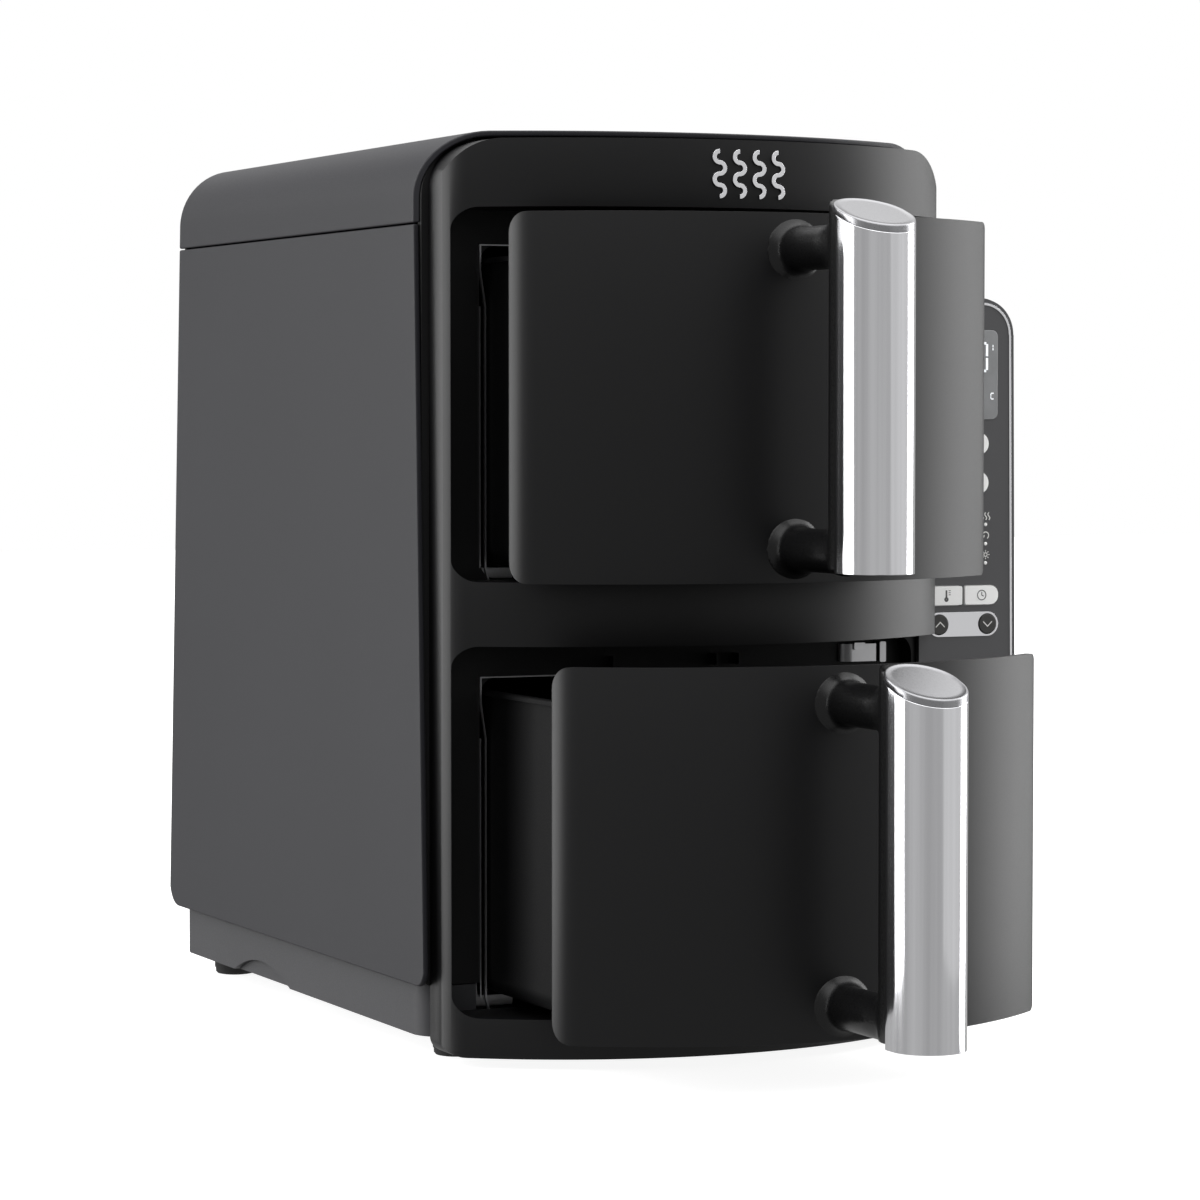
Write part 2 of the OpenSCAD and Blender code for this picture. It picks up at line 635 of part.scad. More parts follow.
// Everything above the slanted cut across the handle, raised by dz
module above_cap_cut(dz) translate([bow_x, handle_y, handle_z1 + dz]) rotate([cap_slope, 0, 0])
    translate([-50, -100, 0]) cube([100, 200, 60]);
module bar_outline(d) union() {
    for (s = [-1, 1]) translate([bow_x, handle_y + s * bar_flat / 2]) circle(bar_r - d);
    translate([bow_x - bar_r + d, handle_y - bar_flat / 2]) square([2 * (bar_r - d), bar_flat]);
}

// Bright channel that wraps the front half of the grip
module handle_bar(level) color(steel) home() drawer_place(level) difference() {
    along_z(handle_z0, handle_z1 + 12) difference() {
        bar_outline(0);
        bar_outline(bar_t);
        translate([bow_x - 30, handle_y + 5]) square([60, 40]);
    }
    above_cap_cut(-3);
}

// Slanted disc that closes the top of the grip
module handle_cap(level) color(silver) home() drawer_place(level) difference() {
    along_z(handle_z0 + 100, handle_z1 + 20) bar_outline(0);
    above_cap_cut(0);
    difference() {
        along_z(0, 400) square(900, center = true);
        above_cap_cut(-3);
    }
}

module handle_screws(level) color(steel) home() drawer_place(level) for (z = arm_z) {
    rod_y(bow_x, [-60, drawer_apex + skin_t + 1], z, screw_r);
    rod_y(bow_x, [drawer_apex + skin_t + 0.2, drawer_apex + skin_t + 2.4], z, 3.8);
}

// Perforated plate that lifts out, and its four silicone feet
plate_z0 = basket_z0 + basket_t + plate_lift;
module crisper_plate(level) color(nonstick) home() drawer_place(level) difference() {
    along_z(plate_z0, plate_z0 + plate_t) basket_outline(plate_gap);
    for (i = [-4:4], j = [0:8]) translate([basket_x + i * 19, insert_y1 + 28 + j * 21, plate_z0 - 1])
        cylinder(h = plate_t + 2, r = 3.5);
}
module plate_feet(level) color("#7d2f2a") home() drawer_place(level)
    for (x = [basket_x0 + 26, basket_x1 - 26], y = [insert_y1 + 17.5, insert_y1 + basket_d - 17.5])
        translate([x, y, basket_z0 + basket_t + 0.3]) cylinder(h = plate_lift - 0.3, r = 5);

top_cover();
left_side_panel();
right_side_panel();
rear_cover();
rear_grille();
base_tub();
rubber_feet();
face_plate();
front_frame();
badge();
upper_liner();
lower_liner();
mid_deck();
drawer_rails();
heating_elements();
fan_guards();
fan_shrouds();
fan_motors();
temperature_probes();
drawer_switches();
cord_gland();
case_screws();
power_board();
fan(UPPER);  // upper_fan
fan(LOWER);  // lower_fan
fan_shaft(UPPER);  // upper_fan_shaft
fan_shaft(LOWER);  // lower_fan_shaft
pod_housing();
control_panel();
panel_trim();
display_window();
control_board();
key_button(zone_1_key, white_key);  // zone_1_button
key_button(zone_2_key, white_key);  // zone_2_button
key_button(sync_key, white_key);  // sync_button
key_button(match_key, white_key);  // match_button
key_button(temp_key, white_key);  // temp_button
key_button(time_key, white_key);  // time_button
key_button(up_key, deep_black);  // up_button
key_button(down_key, deep_black);  // down_button
key_button(start_key, white_key);  // start_button
key_button(power_key, white_key);  // power_button
drawer_front(UPPER);  // upper_drawer_front
drawer_front(LOWER);  // lower_drawer_front
drawer_insert(UPPER);  // upper_drawer_insert
drawer_insert(LOWER);  // lower_drawer_insert
basket(UPPER);  // upper_basket
basket(LOWER);  // lower_basket
handle_bracket(UPPER);  // upper_handle_bracket
handle_bracket(LOWER);  // lower_handle_bracket
handle_bar(UPPER);  // upper_handle_bar
handle_bar(LOWER);  // lower_handle_bar
handle_cap(UPPER);  // upper_handle_cap
handle_cap(LOWER);  // lower_handle_cap
handle_screws(UPPER);  // upper_handle_screws
handle_screws(LOWER);  // lower_handle_screws
crisper_plate(UPPER);  // upper_crisper_plate
crisper_plate(LOWER);  // lower_crisper_plate
plate_feet(UPPER);  // upper_plate_feet
plate_feet(LOWER);  // lower_plate_feet
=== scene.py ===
"""Tall two-drawer air fryer: the visible pieces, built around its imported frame."""
import math

import bmesh
import bpy
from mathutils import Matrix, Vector


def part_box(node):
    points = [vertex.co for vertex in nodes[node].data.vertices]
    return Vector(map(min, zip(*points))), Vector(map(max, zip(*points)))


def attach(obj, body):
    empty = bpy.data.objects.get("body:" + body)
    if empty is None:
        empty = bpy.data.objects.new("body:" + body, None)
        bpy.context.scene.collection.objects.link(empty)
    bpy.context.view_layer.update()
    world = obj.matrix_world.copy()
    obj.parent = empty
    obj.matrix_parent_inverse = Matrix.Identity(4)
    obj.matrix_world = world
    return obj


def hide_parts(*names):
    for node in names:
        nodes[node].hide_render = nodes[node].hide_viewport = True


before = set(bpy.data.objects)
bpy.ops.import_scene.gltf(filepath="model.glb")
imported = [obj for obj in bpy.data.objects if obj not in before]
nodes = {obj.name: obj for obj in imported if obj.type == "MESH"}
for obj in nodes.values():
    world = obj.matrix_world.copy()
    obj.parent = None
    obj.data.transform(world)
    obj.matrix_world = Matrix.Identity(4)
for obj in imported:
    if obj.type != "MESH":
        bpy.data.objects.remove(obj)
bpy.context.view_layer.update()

# Studio -----------------------------------------------------------------------
# A level camera with a long lens stands to the left of the front. A broad soft
# ceiling lights the table, and softboxes at both sides draw the long highlights.

eye = Vector((-0.7714, -1.5865, 0.2688))
heading_deg = 24.97
dip_deg = 2.64
lens_mm = 120.8

camera = bpy.data.objects.new("camera", bpy.data.cameras.new("camera"))
camera.location = eye
camera.rotation_euler = (math.radians(90 - dip_deg), 0, math.radians(-heading_deg))
camera.data.lens = lens_mm
camera.data.sensor_width = 36
camera.data.clip_end = 50
bpy.context.scene.collection.objects.link(camera)
bpy.context.scene.camera = camera
bpy.context.scene.view_settings.view_transform = "Standard"

studio_middle = Vector((0, 0, 0.19))


def softbox(name, bearing_deg, height, distance, size, radiance):
    """An area light that looks at the object; the bearing turns from the front to the right."""
    light = bpy.data.lights.new(name, "AREA")
    light.shape = "RECTANGLE"
    light.size, light.size_y = size
    light.energy = radiance * size[0] * size[1] * math.pi
    box = bpy.data.objects.new(name, light)
    bearing = math.radians(bearing_deg)
    box.location = Vector((math.sin(bearing) * distance, -math.cos(bearing) * distance, height))
    box.rotation_euler = (studio_middle - box.location).to_track_quat("-Z", "Y").to_euler()
    box.visible_camera = False
    bpy.context.scene.collection.objects.link(box)


softbox("left_softbox", bearing_deg=-118, height=0.45, distance=1.9, size=(1.70, 1.9), radiance=4.2)
softbox("right_softbox", bearing_deg=86, height=0.45, distance=1.6, size=(0.95, 1.9), radiance=4.2)
softbox("front_right_fill", bearing_deg=42, height=0.55, distance=2.2, size=(2.5, 2.2), radiance=0.16)

world = bpy.data.worlds.new("studio")
bpy.context.scene.world = world
world.use_nodes = True
tree = world.node_tree
tree.nodes.clear()
output = tree.nodes.new("ShaderNodeOutputWorld")
choose = tree.nodes.new("ShaderNodeMixShader")
seen = tree.nodes.new("ShaderNodeBackground")
lit = tree.nodes.new("ShaderNodeBackground")
path = tree.nodes.new("ShaderNodeLightPath")
where = tree.nodes.new("ShaderNodeTexCoord")
split = tree.nodes.new("ShaderNodeSeparateXYZ")
ceiling = tree.nodes.new("ShaderNodeMapRange")
wall_radiance, ceiling_radiance = 0.62, 3.4
ceiling_starts, ceiling_full = 0.35, 0.85
seen.inputs["Color"].default_value = (1, 1, 1, 1)
ceiling.inputs["From Min"].default_value = ceiling_starts
ceiling.inputs["From Max"].default_value = ceiling_full
ceiling.inputs["To Min"].default_value = wall_radiance
ceiling.inputs["To Max"].default_value = ceiling_radiance
ceiling.interpolation_type = "SMOOTHSTEP"
tree.links.new(where.outputs["Generated"], split.inputs[0])
tree.links.new(split.outputs["Z"], ceiling.inputs["Value"])
tree.links.new(ceiling.outputs[0], lit.inputs["Strength"])
tree.links.new(path.outputs["Is Camera Ray"], choose.inputs[0])
tree.links.new(lit.outputs[0], choose.inputs[1])
tree.links.new(seen.outputs[0], choose.inputs[2])
tree.links.new(choose.outputs[0], output.inputs[0])

floor_mesh = bpy.data.meshes.new("floor")
reach = 6.0
floor_mesh.from_pydata([(-reach, -reach, 0), (reach, -reach, 0), (reach, reach, 0), (-reach, reach, 0)],
                       [], [(0, 1, 2, 3)])
floor = bpy.data.objects.new("floor", floor_mesh)
bpy.context.scene.collection.objects.link(floor)
pale = bpy.data.materials.new("pale_floor")
pale.use_nodes = True
for socket, value in (("Base Color", (0.4, 0.4, 0.4, 1)), ("Roughness", 0.9), ("Specular IOR Level", 0.1),
                      ("Emission Color", (1, 1, 1, 1)), ("Emission Strength", 0.9)):
    pale.node_tree.nodes["Principled BSDF"].inputs[socket].default_value = value
floor_mesh.materials.append(pale)
floor.visible_glossy = False
floor.visible_diffuse = False

# Painted covers ---------------------------------------------------------------
# The top cover and the two side panels are moulded shells in dark grey lacquer
# with a fine matt texture. Their edges are rounded where they meet at the seams.


def new_piece(name, mesh, material):
    """A finished mesh as an object at the origin."""
    piece = bpy.data.objects.new(name, mesh)
    bpy.context.scene.collection.objects.link(piece)
    mesh.materials.clear()
    mesh.materials.append(material)
    return piece


def settle(piece):
    """Turns a piece's live modifiers into plain mesh."""
    evaluated = piece.evaluated_get(bpy.context.evaluated_depsgraph_get())
    mesh = bpy.data.meshes.new_from_object(evaluated)
    piece.modifiers.clear()
    piece.data = mesh
    return piece


def smooth(mesh, sharp_deg=38):
    mesh.shade_smooth()
    mesh.set_sharp_from_angle(angle=math.radians(sharp_deg))


def eased(piece, radius, steps, corner_deg=30):
    """Rounds the sharp edges of a piece and turns the result into mesh."""
    bevel = piece.modifiers.new("round", "BEVEL")
    bevel.width, bevel.segments = radius, steps
    bevel.limit_method, bevel.angle_limit = "ANGLE", math.radians(corner_deg)
    settle(piece)
    smooth(piece.data)
    return piece


def soft_edged(node, radius, material, steps=3, corner_deg=30):
    """A copy of a frame node with its facets joined and its edges rounded."""
    bm = bmesh.new()
    bm.from_mesh(nodes[node].data)
    bmesh.ops.remove_doubles(bm, verts=bm.verts, dist=2e-6)
    bmesh.ops.dissolve_limit(bm, angle_limit=math.radians(0.6), verts=bm.verts, edges=bm.edges)
    mesh = bpy.data.meshes.new(node + "_finished")
    bm.to_mesh(mesh)
    bm.free()
    piece = new_piece(node + "_finished", mesh, material)
    bevel = piece.modifiers.new("round", "BEVEL")
    bevel.width, bevel.segments = radius, steps
    bevel.limit_method, bevel.angle_limit = "ANGLE", math.radians(corner_deg)
    bevel.miter_outer = "MITER_ARC"
    smooth(mesh)
    settle(piece)
    smooth(piece.data)
    even = piece.modifiers.new("even_normals", "WEIGHTED_NORMAL")
    even.keep_sharp = True
    settle(piece)
    return piece


def fit(piece, body, slot, *stands_for):
    """Fixes a piece to its body and hides the nodes that it stands for; the slot is not used."""
    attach(piece, body)
    if stands_for:
        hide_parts(*stands_for)
    return piece


def finish(name, colour, roughness, metallic=0.0, **sockets):
    """A Principled material; further sockets are given by name with _ for a space."""
    material = bpy.data.materials.new(name)
    material.use_nodes = True
    shader = material.node_tree.nodes["Principled BSDF"]
    shader.inputs["Base Color"].default_value = (*colour, 1)
    shader.inputs["Roughness"].default_value = roughness
    shader.inputs["Metallic"].default_value = metallic
    for socket, value in sockets.items():
        shader.inputs[socket.replace("_", " ")].default_value = value
    return material


def grained(material, grain_per_m, depth_m, stretch=(1, 1, 1), gloss_spread=0.06, tint=0.06, blotch_per_m=9,
            streaked=False):
    """Adds texture: a fine grain in relief and gloss, and broad faint changes of colour."""
    tree = material.node_tree
    shader = tree.nodes["Principled BSDF"]
    place = tree.nodes.new("ShaderNodeTexCoord")
    turn = tree.nodes.new("ShaderNodeMapping")
    turn.inputs["Scale"].default_value = stretch
    tree.links.new(place.outputs["Object"], turn.inputs["Vector"])
    grain = tree.nodes.new("ShaderNodeTexNoise")
    grain.inputs["Scale"].default_value = grain_per_m
    grain.inputs["Detail"].default_value = 3
    tree.links.new(turn.outputs[0], grain.inputs["Vector"])
    relief = tree.nodes.new("ShaderNodeBump")
    relief.inputs["Distance"].default_value = depth_m
    relief.inputs["Strength"].default_value = 1
    tree.links.new(grain.outputs["Fac"], relief.inputs["Height"])
    tree.links.new(relief.outputs[0], shader.inputs["Normal"])
    base = shader.inputs["Roughness"].default_value
    gloss = tree.nodes.new("ShaderNodeMapRange")
    gloss.inputs["From Min"].default_value = 0.3
    gloss.inputs["From Max"].default_value = 0.7
    gloss.inputs["To Min"].default_value = max(0.02, base - gloss_spread)
    gloss.inputs["To Max"].default_value = min(1.0, base + gloss_spread)
    tree.links.new(grain.outputs["Fac"], gloss.inputs["Value"])
    tree.links.new(gloss.outputs[0], shader.inputs["Roughness"])
    blotch = tree.nodes.new("ShaderNodeTexNoise")
    blotch.inputs["Scale"].default_value = blotch_per_m
    blotch.inputs["Detail"].default_value = 4
    tree.links.new(turn.outputs[0] if streaked else place.outputs["Object"], blotch.inputs["Vector"])
    shade = tree.nodes.new("ShaderNodeValToRGB")
    colour = shader.inputs["Base Color"].default_value
    for stop, at, gain in ((0, 0.3, 1 - tint), (1, 0.7, 1 + tint)):
        shade.color_ramp.elements[stop].position = at
        shade.color_ramp.elements[stop].color = (*(min(1, c * gain) for c in colour[:3]), 1)
    tree.links.new(blotch.outputs["Fac"], shade.inputs["Fac"])
    tree.links.new(shade.outputs["Color"], shader.inputs["Base Color"])
    return material


lacquer = grained(finish("grey_lacquer", (0.0160, 0.0160, 0.0190), 0.46, Specular_IOR_Level=0.20),
                  2600, 0.00003, tint=0.05)
for cover in ("top_cover", "left_side_panel", "right_side_panel"):
    fit(soft_edged(cover, 0.0008, lacquer), "body", "painted_shell", cover)

# Base tub and feet ------------------------------------------------------------
# A moulded tray closes the underside; it has a finger arch in each side. Four
# turned rubber feet with a soft lower rim are pushed into it.

base_plastic = grained(finish("base_plastic", (0.034, 0.034, 0.037), 0.55, Specular_IOR_Level=0.28),
                       1800, 0.00004)
fit(soft_edged("base_tub", 0.0012, base_plastic), "body", "base_plastic", "base_tub")

rubber = grained(finish("foot_rubber", (0.014, 0.014, 0.014), 0.8), 1400, 0.00006)


def turned(profile, centre, turns=64):
    """A closed solid of revolution about a vertical axis; the profile runs (radius, z) upwards."""
    bm = bmesh.new()
    rings = []
    for r, z in profile:
        rings.append([bm.verts.new((centre[0] + r * math.cos(a), centre[1] + r * math.sin(a), z))
                      for a in (2 * math.pi * k / turns for k in range(turns))])
    for low, high in zip(rings, rings[1:]):
        for k in range(turns):
            n = (k + 1) % turns
            bm.faces.new((low[k], low[n], high[n], high[k]))
    bm.faces.new(list(reversed(rings[0])))
    bm.faces.new(rings[-1])
    return bm


def stacked(rings, closed=True):
    """A closed solid through rings of equal length, listed from the bottom up."""
    bm = bmesh.new()
    rows = [[bm.verts.new(p) for p in ring] for ring in rings]
    count = len(rows[0])
    for low_row, high_row in zip(rows, rows[1:]):
        for k in range(count):
            n = (k + 1) % count
            bm.faces.new((low_row[k], low_row[n], high_row[n], high_row[k]))
    if closed:
        bm.faces.new(list(reversed(rows[0])))
        bm.faces.new(rows[-1])
    return bm


def merged(parts):
    """Several bmeshes as one."""
    whole = bmesh.new()
    for part in parts:
        mesh = bpy.data.meshes.new("part")
        part.to_mesh(mesh)
        part.free()
        whole.from_mesh(mesh)
        bpy.data.meshes.remove(mesh)
    return whole


def made(name, bm, material, sharp_deg=38):
    """A piece from a finished bmesh."""
    mesh = bpy.data.meshes.new(name)
    bm.to_mesh(mesh)
    bm.free()
    smooth(mesh, sharp_deg)
    return new_piece(name, mesh, material)


low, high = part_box("rubber_feet")
foot_r = 0.010
foot_profile = [(foot_r - 0.0026, 0), (foot_r - 0.0012, 0.0003), (foot_r - 0.0005, 0.0012),
                (foot_r - 0.0004, 0.0028), (foot_r, 0.0034), (foot_r, high.z - 0.0006),
                (foot_r - 0.0006, high.z)]
feet = [turned(foot_profile, (x, y)) for x in (low.x + foot_r, high.x - foot_r)
        for y in (low.y + foot_r, high.y - foot_r)]
fit(made("rubber_feet_turned", merged(feet), rubber), "body", "foot_rubber", "rubber_feet")

# Front frame ------------------------------------------------------------------
# One bowed moulding in satin black holds both drawers: header, cross-member and
# sill, with all outer edges well rounded. It sits on a flat dark face plate that
# has a window for each oven box.

satin_black = grained(finish("satin_black", (0.0030, 0.0030, 0.0034), 0.40, Specular_IOR_Level=0.29),
                      3200, 0.000012, tint=0.04)
deep_black = grained(finish("deep_black", (0.0018, 0.0018, 0.0020), 0.55, Specular_IOR_Level=0.3),
                     2400, 0.00003)
bow_r, frame_ends, frame_corners, frame_edge_r = 0.178, (0.020, 0.003), (0.007, 0.005, 0.020, 0.020), 0.0020
stile_t, right_stile_x, right_stile_y = 0.0029, 0.088, -0.06105


def bow_line(radius, middle_x, apex_y, x0, x1, back_y, end_r, steps=48):
    """Plan of a bowed front from the left wall round to the right one, with eased ends."""
    mid = Vector((middle_x, apex_y + radius))
    left, right = (Vector((x, mid.y - math.sqrt((radius - r) ** 2 - (x - mid.x) ** 2)))
                   for x, r in ((x0 + end_r[0], end_r[0]), (x1 - end_r[1], end_r[1])))
    first = math.atan2(left.y - mid.y, left.x - mid.x)
    last = math.atan2(right.y - mid.y, right.x - mid.x)

    def sweep(centre, r, a0, a1, count):
        angles = [a0 + (a1 - a0) * k / count for k in range(count + 1)]
        return [(centre.x + r * math.cos(a), centre.y + r * math.sin(a)) for a in angles]

    start = -math.pi + math.asin(max(0, (left.y - back_y) / end_r[0]))
    points = sweep(left, end_r[0], start, first, 14)
    points = ([(x0, back_y)] if left.y < back_y - 1e-6 else []) + points
    points += sweep(mid, radius, first, last, steps)[1:]
    if end_r[1] > 0:
        points += sweep(right, end_r[1], last, 0, 8)[1:]
    return points + ([(x1, back_y)] if points[-1][1] < back_y - 1e-6 else [])


def rounded_box(a0, a1, b0, b1, radii, steps=14):
    """Points round a rectangle from its lower left corner, with that corner's radius first."""
    points = []
    corners = ((a0, b0, 1, 1, 180), (a1, b0, -1, 1, 270), (a1, b1, -1, -1, 0), (a0, b1, 1, -1, 90))
    for (a, b, sa, sb, first), r in zip(corners, radii):
        if r <= 0:
            points.append((a, b))
            continue
        angles = [math.radians(first + 90 * k / steps) for k in range(steps + 1)]
        points += [(a + sa * r + r * math.cos(angle), b + sb * r + r * math.sin(angle)) for angle in angles]
    return points


def prism(points, low, high, axis):
    """A closed solid swept from a flat outline along Y (outline in x, z) or Z (outline in x, y)."""
    place = (lambda p, t: (p[0], t, p[1])) if axis == "Y" else (lambda p, t: (p[0], p[1], t))
    bm = bmesh.new()
    ends = [[bm.verts.new(place(p, t)) for p in points] for t in (low, high)]
    for k in range(len(points)):
        n = (k + 1) % len(points)
        bm.faces.new((ends[0][k], ends[0][n], ends[1][n], ends[1][k]))
    bm.faces.new(ends[0])
    bm.faces.new(ends[1])
    bmesh.ops.recalc_face_normals(bm, faces=bm.faces)
    return bm


def cut(piece, operation, bm):
    """Cuts a piece with a solid, or keeps only what lies inside it."""
    tool_mesh = bpy.data.meshes.new("tool")
    bm.to_mesh(tool_mesh)
    bm.free()
    tool = bpy.data.objects.new("tool", tool_mesh)
    bpy.context.scene.collection.objects.link(tool)
    step = piece.modifiers.new("cut", "BOOLEAN")
    step.operation, step.object, step.solver = operation, tool, "EXACT"
    settle(piece)
    bpy.data.objects.remove(tool)
    bpy.data.meshes.remove(tool_mesh)


low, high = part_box("front_frame")
panel_low, panel_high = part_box("control_panel")
key_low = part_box("temp_button")[0]
mouth_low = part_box("lower_liner")[0]
level_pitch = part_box("upper_liner")[0].z - mouth_low.z
opening_low, opening_h, opening_r = mouth_low.z + 0.0011, 0.153, 0.009
beyond, overlap, panel_gap, key_gap = 0.05, 0.0005, 0.001, 0.0012
middle_x = (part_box("upper_handle_bar")[0].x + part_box("upper_handle_bar")[1].x) / 2
plan = bow_line(bow_r, middle_x, low.y, low.x, high.x, high.y, frame_ends)
frame_piece = made("front_frame_moulded", prism(plan, low.z, high.z, "Z"), satin_black)
whole_face = rounded_box(low.x - 0.0001, high.x + 0.0001, low.z, high.z, frame_corners)
cut(frame_piece, "INTERSECT", prism(whole_face, low.y - beyond, high.y + beyond, "Y"))
for z in (opening_low, opening_low + level_pitch):
    open_right = rounded_box(low.x + stile_t, high.x + beyond, z, z + opening_h, (opening_r, 0, 0, opening_r))
    cut(frame_piece, "DIFFERENCE", prism(open_right, low.y - beyond, right_stile_y, "Y"))
    window_shape = rounded_box(low.x + stile_t, right_stile_x, z, z + opening_h, (opening_r,) * 4)
    cut(frame_piece, "DIFFERENCE", prism(window_shape, right_stile_y - overlap, high.y + beyond, "Y"))
for left_x, front_y, back_y in ((panel_low.x - 0.0004, panel_low.y - panel_gap, panel_high.y + 0.0001),
                                (key_low.x - key_gap, panel_low.y, high.y + beyond)):
    notch = rounded_box(left_x, high.x + beyond, panel_low.z - panel_gap, panel_high.z + panel_gap, (0,) * 4)
    cut(frame_piece, "DIFFERENCE", prism(notch, front_y, back_y, "Y"))
eased(frame_piece, frame_edge_r, 4)
fit(frame_piece, "body", "satin_black", "front_frame")
fit(soft_edged("face_plate", 0.0006, deep_black), "body", "deep_black", "face_plate")

# Emblem -----------------------------------------------------------------------
# Four upright heat waves in bright metal are set on the header as a generic mark.
# Each is a raised strip with a soft crown.

bright = grained(finish("bright_trim", (0.82, 0.82, 0.84), 0.16, 1.0), 4000, 0.000006, gloss_spread=0.04)
fit(soft_edged("badge", 0.0003, bright, steps=2), "body", "bright_trim", "badge")

# Oven boxes -------------------------------------------------------------------
# Each drawer slides into a box of pressed sheet with a dark non-stick coat. Its
# mouth is turned out into a flange that steps inwards below the basket's rim.

nonstick = grained(finish("dark_nonstick", (0.0020, 0.0020, 0.0022), 0.58, Specular_IOR_Level=0.08),
                   1500, 0.00003, tint=0.15, blotch_per_m=60)
plain_steel = grained(finish("plain_sheet", (0.52, 0.52, 0.53), 0.34, 1.0), 700, 0.00001, (1, 1, 9))


def ribbon(bm, points, width, plane_y, depth, closed=False):
    """A flat strip of even width along points (x, z), standing proud of a plane by its depth."""
    count = len(points)
    sides = []
    for k, (x, z) in enumerate(points):
        before = points[k - 1] if k or closed else None
        after = points[(k + 1) % count] if k < count - 1 or closed else None
        ahead = Vector((after[0] - x, after[1] - z)).normalized() if after else None
        back = Vector((x - before[0], z - before[1])).normalized() if before else None
        run = (ahead + back).normalized() if ahead and back else ahead or back
        turn = max(0.35, run.dot(ahead or back))
        across = Vector((-run.y, run.x)) * (width / 2 / turn)
        sides.append([bm.verts.new((x + s * across.x, y, z + s * across.y))
                      for s, y in ((1, plane_y), (-1, plane_y), (-1, plane_y - depth), (1, plane_y - depth))])
    pairs = list(zip(sides, sides[1:])) + ([(sides[-1], sides[0])] if closed else [])
    for a, b in pairs:
        for k in range(4):
            n = (k + 1) % 4
            bm.faces.new((a[k], a[n], b[n], b[k]))
    if not closed:
        bm.faces.new(list(reversed(sides[0])))
        bm.faces.new(sides[-1])


def outward(bm):
    """Doubles are merged, then every face is turned to point out of its solid."""
    bmesh.ops.remove_doubles(bm, verts=bm.verts, dist=1e-7)
    bmesh.ops.recalc_face_normals(bm, faces=bm.faces)
    return bm


LEVELS = ("upper", "lower")
plate_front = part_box("face_plate")[0].y
for level in LEVELS:
    node = f"{level}_liner"
    fit(soft_edged(node, 0.0005, nonstick), "body", "nonstick", node)
    low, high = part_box(node)
    lip, step_by, step_low, step_high = 0.0012, 0.0022, high.z - 0.0265, high.z - 0.0115
    behind = plate_front + 0.0002
    flange = bmesh.new()
    for flip in (False, True):
        line = [(low.x + lip + step_by + 0.0014, low.z + 0.0010), (low.x + lip + step_by, low.z + 0.0060),
                (low.x + lip + step_by, step_low), (low.x + lip, step_high), (low.x + lip, high.z - 0.0012)]
        if flip:
            line = [(low.x + high.x - x, z) for x, z in line]
        ribbon(flange, line, 0.0007, behind, 0.0016)
        bead = [(x + (0.0021 if flip else -0.0021), z) for x, z in line[1:3]]
        ribbon(flange, bead, 0.0005, behind, 0.0008)
    ribbon(flange, [(low.x + lip, high.z - 0.0012), (high.x - lip, high.z - 0.0012)], 0.0005, behind, 0.0010)
    fit(made(f"{level}_mouth_flange", outward(flange), plain_steel), "body", "plain_steel")

# Latch plates -----------------------------------------------------------------
# Above the right end of each mouth a small steel latch plate catches the drawer.
# It is stamped, rolled over at its left end, and has a guide strip beside it.

for level in LEVELS:
    low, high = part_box(f"{level}_liner")
    latch_right, latch_w, latch_y, roll = high.x - 0.0012, 0.0165, plate_front - 0.0046, 0.005
    latch_left, latch_low, latch_high = latch_right - latch_w, high.z + 0.0012, high.z + 0.0088
    rolled = [(latch_left + roll - roll * math.sin(a), latch_y + roll * (1 - math.cos(a)))
              for a in (math.radians(d) for d in range(0, 81, 10))]
    section = [(latch_right, latch_y)] + rolled + [(x + 0.0008, y + 0.0010) for x, y in reversed(rolled)]
    section += [(latch_right, plate_front - 0.0036)]
    latch = outward(stacked([[(x, y, z) for x, y in section] for z in (latch_low, latch_high)]))
    guide = rounded_box(latch_right + 0.0016, latch_right + 0.0046, latch_low - 0.0004, latch_high + 0.0008,
                        (0.0006,) * 4, 4)
    strip = prism(guide, plate_front - 0.0052, plate_front, "Y")
    catch = rounded_box(latch_left + 0.0052, latch_left + 0.0105, latch_high - 0.0024, latch_high + 0.0006,
                        (0.0004,) * 4, 4)
    tab = prism(catch, plate_front - 0.0058, plate_front - 0.0040, "Y")
    fit(made(f"{level}_latch", merged([latch, strip, tab]), plain_steel), "body", "plain_steel")
    ribs = [prism(rounded_box(x, x + 0.0008, high.z + 0.0016, high.z + 0.0064, (0.0002,) * 4, 2),
                  plate_front - 0.0060, plate_front, "Y") for x in (-0.0530, -0.0044, 0.0062)]
    fit(made(f"{level}_header_ribs", merged(ribs), satin_black), "body", "satin_black")

# Drawers ----------------------------------------------------------------------
# A bowed black skin with a fine satin texture is clipped over a moulding that
# carries the basket. The basket is deep drawn, with a rolled rim.

drawer_black = grained(finish("drawer_black", (0.0030, 0.0030, 0.0034), 0.42, Specular_IOR_Level=0.30),
                       3600, 0.000012, tint=0.04)
skin_r, skin_t, skin_ease, skin_overhang, skin_edge_r = 0.175, 0.003, 0.020, 0.0009, 0.0010
corner_r = (0.0088, 0.0028)


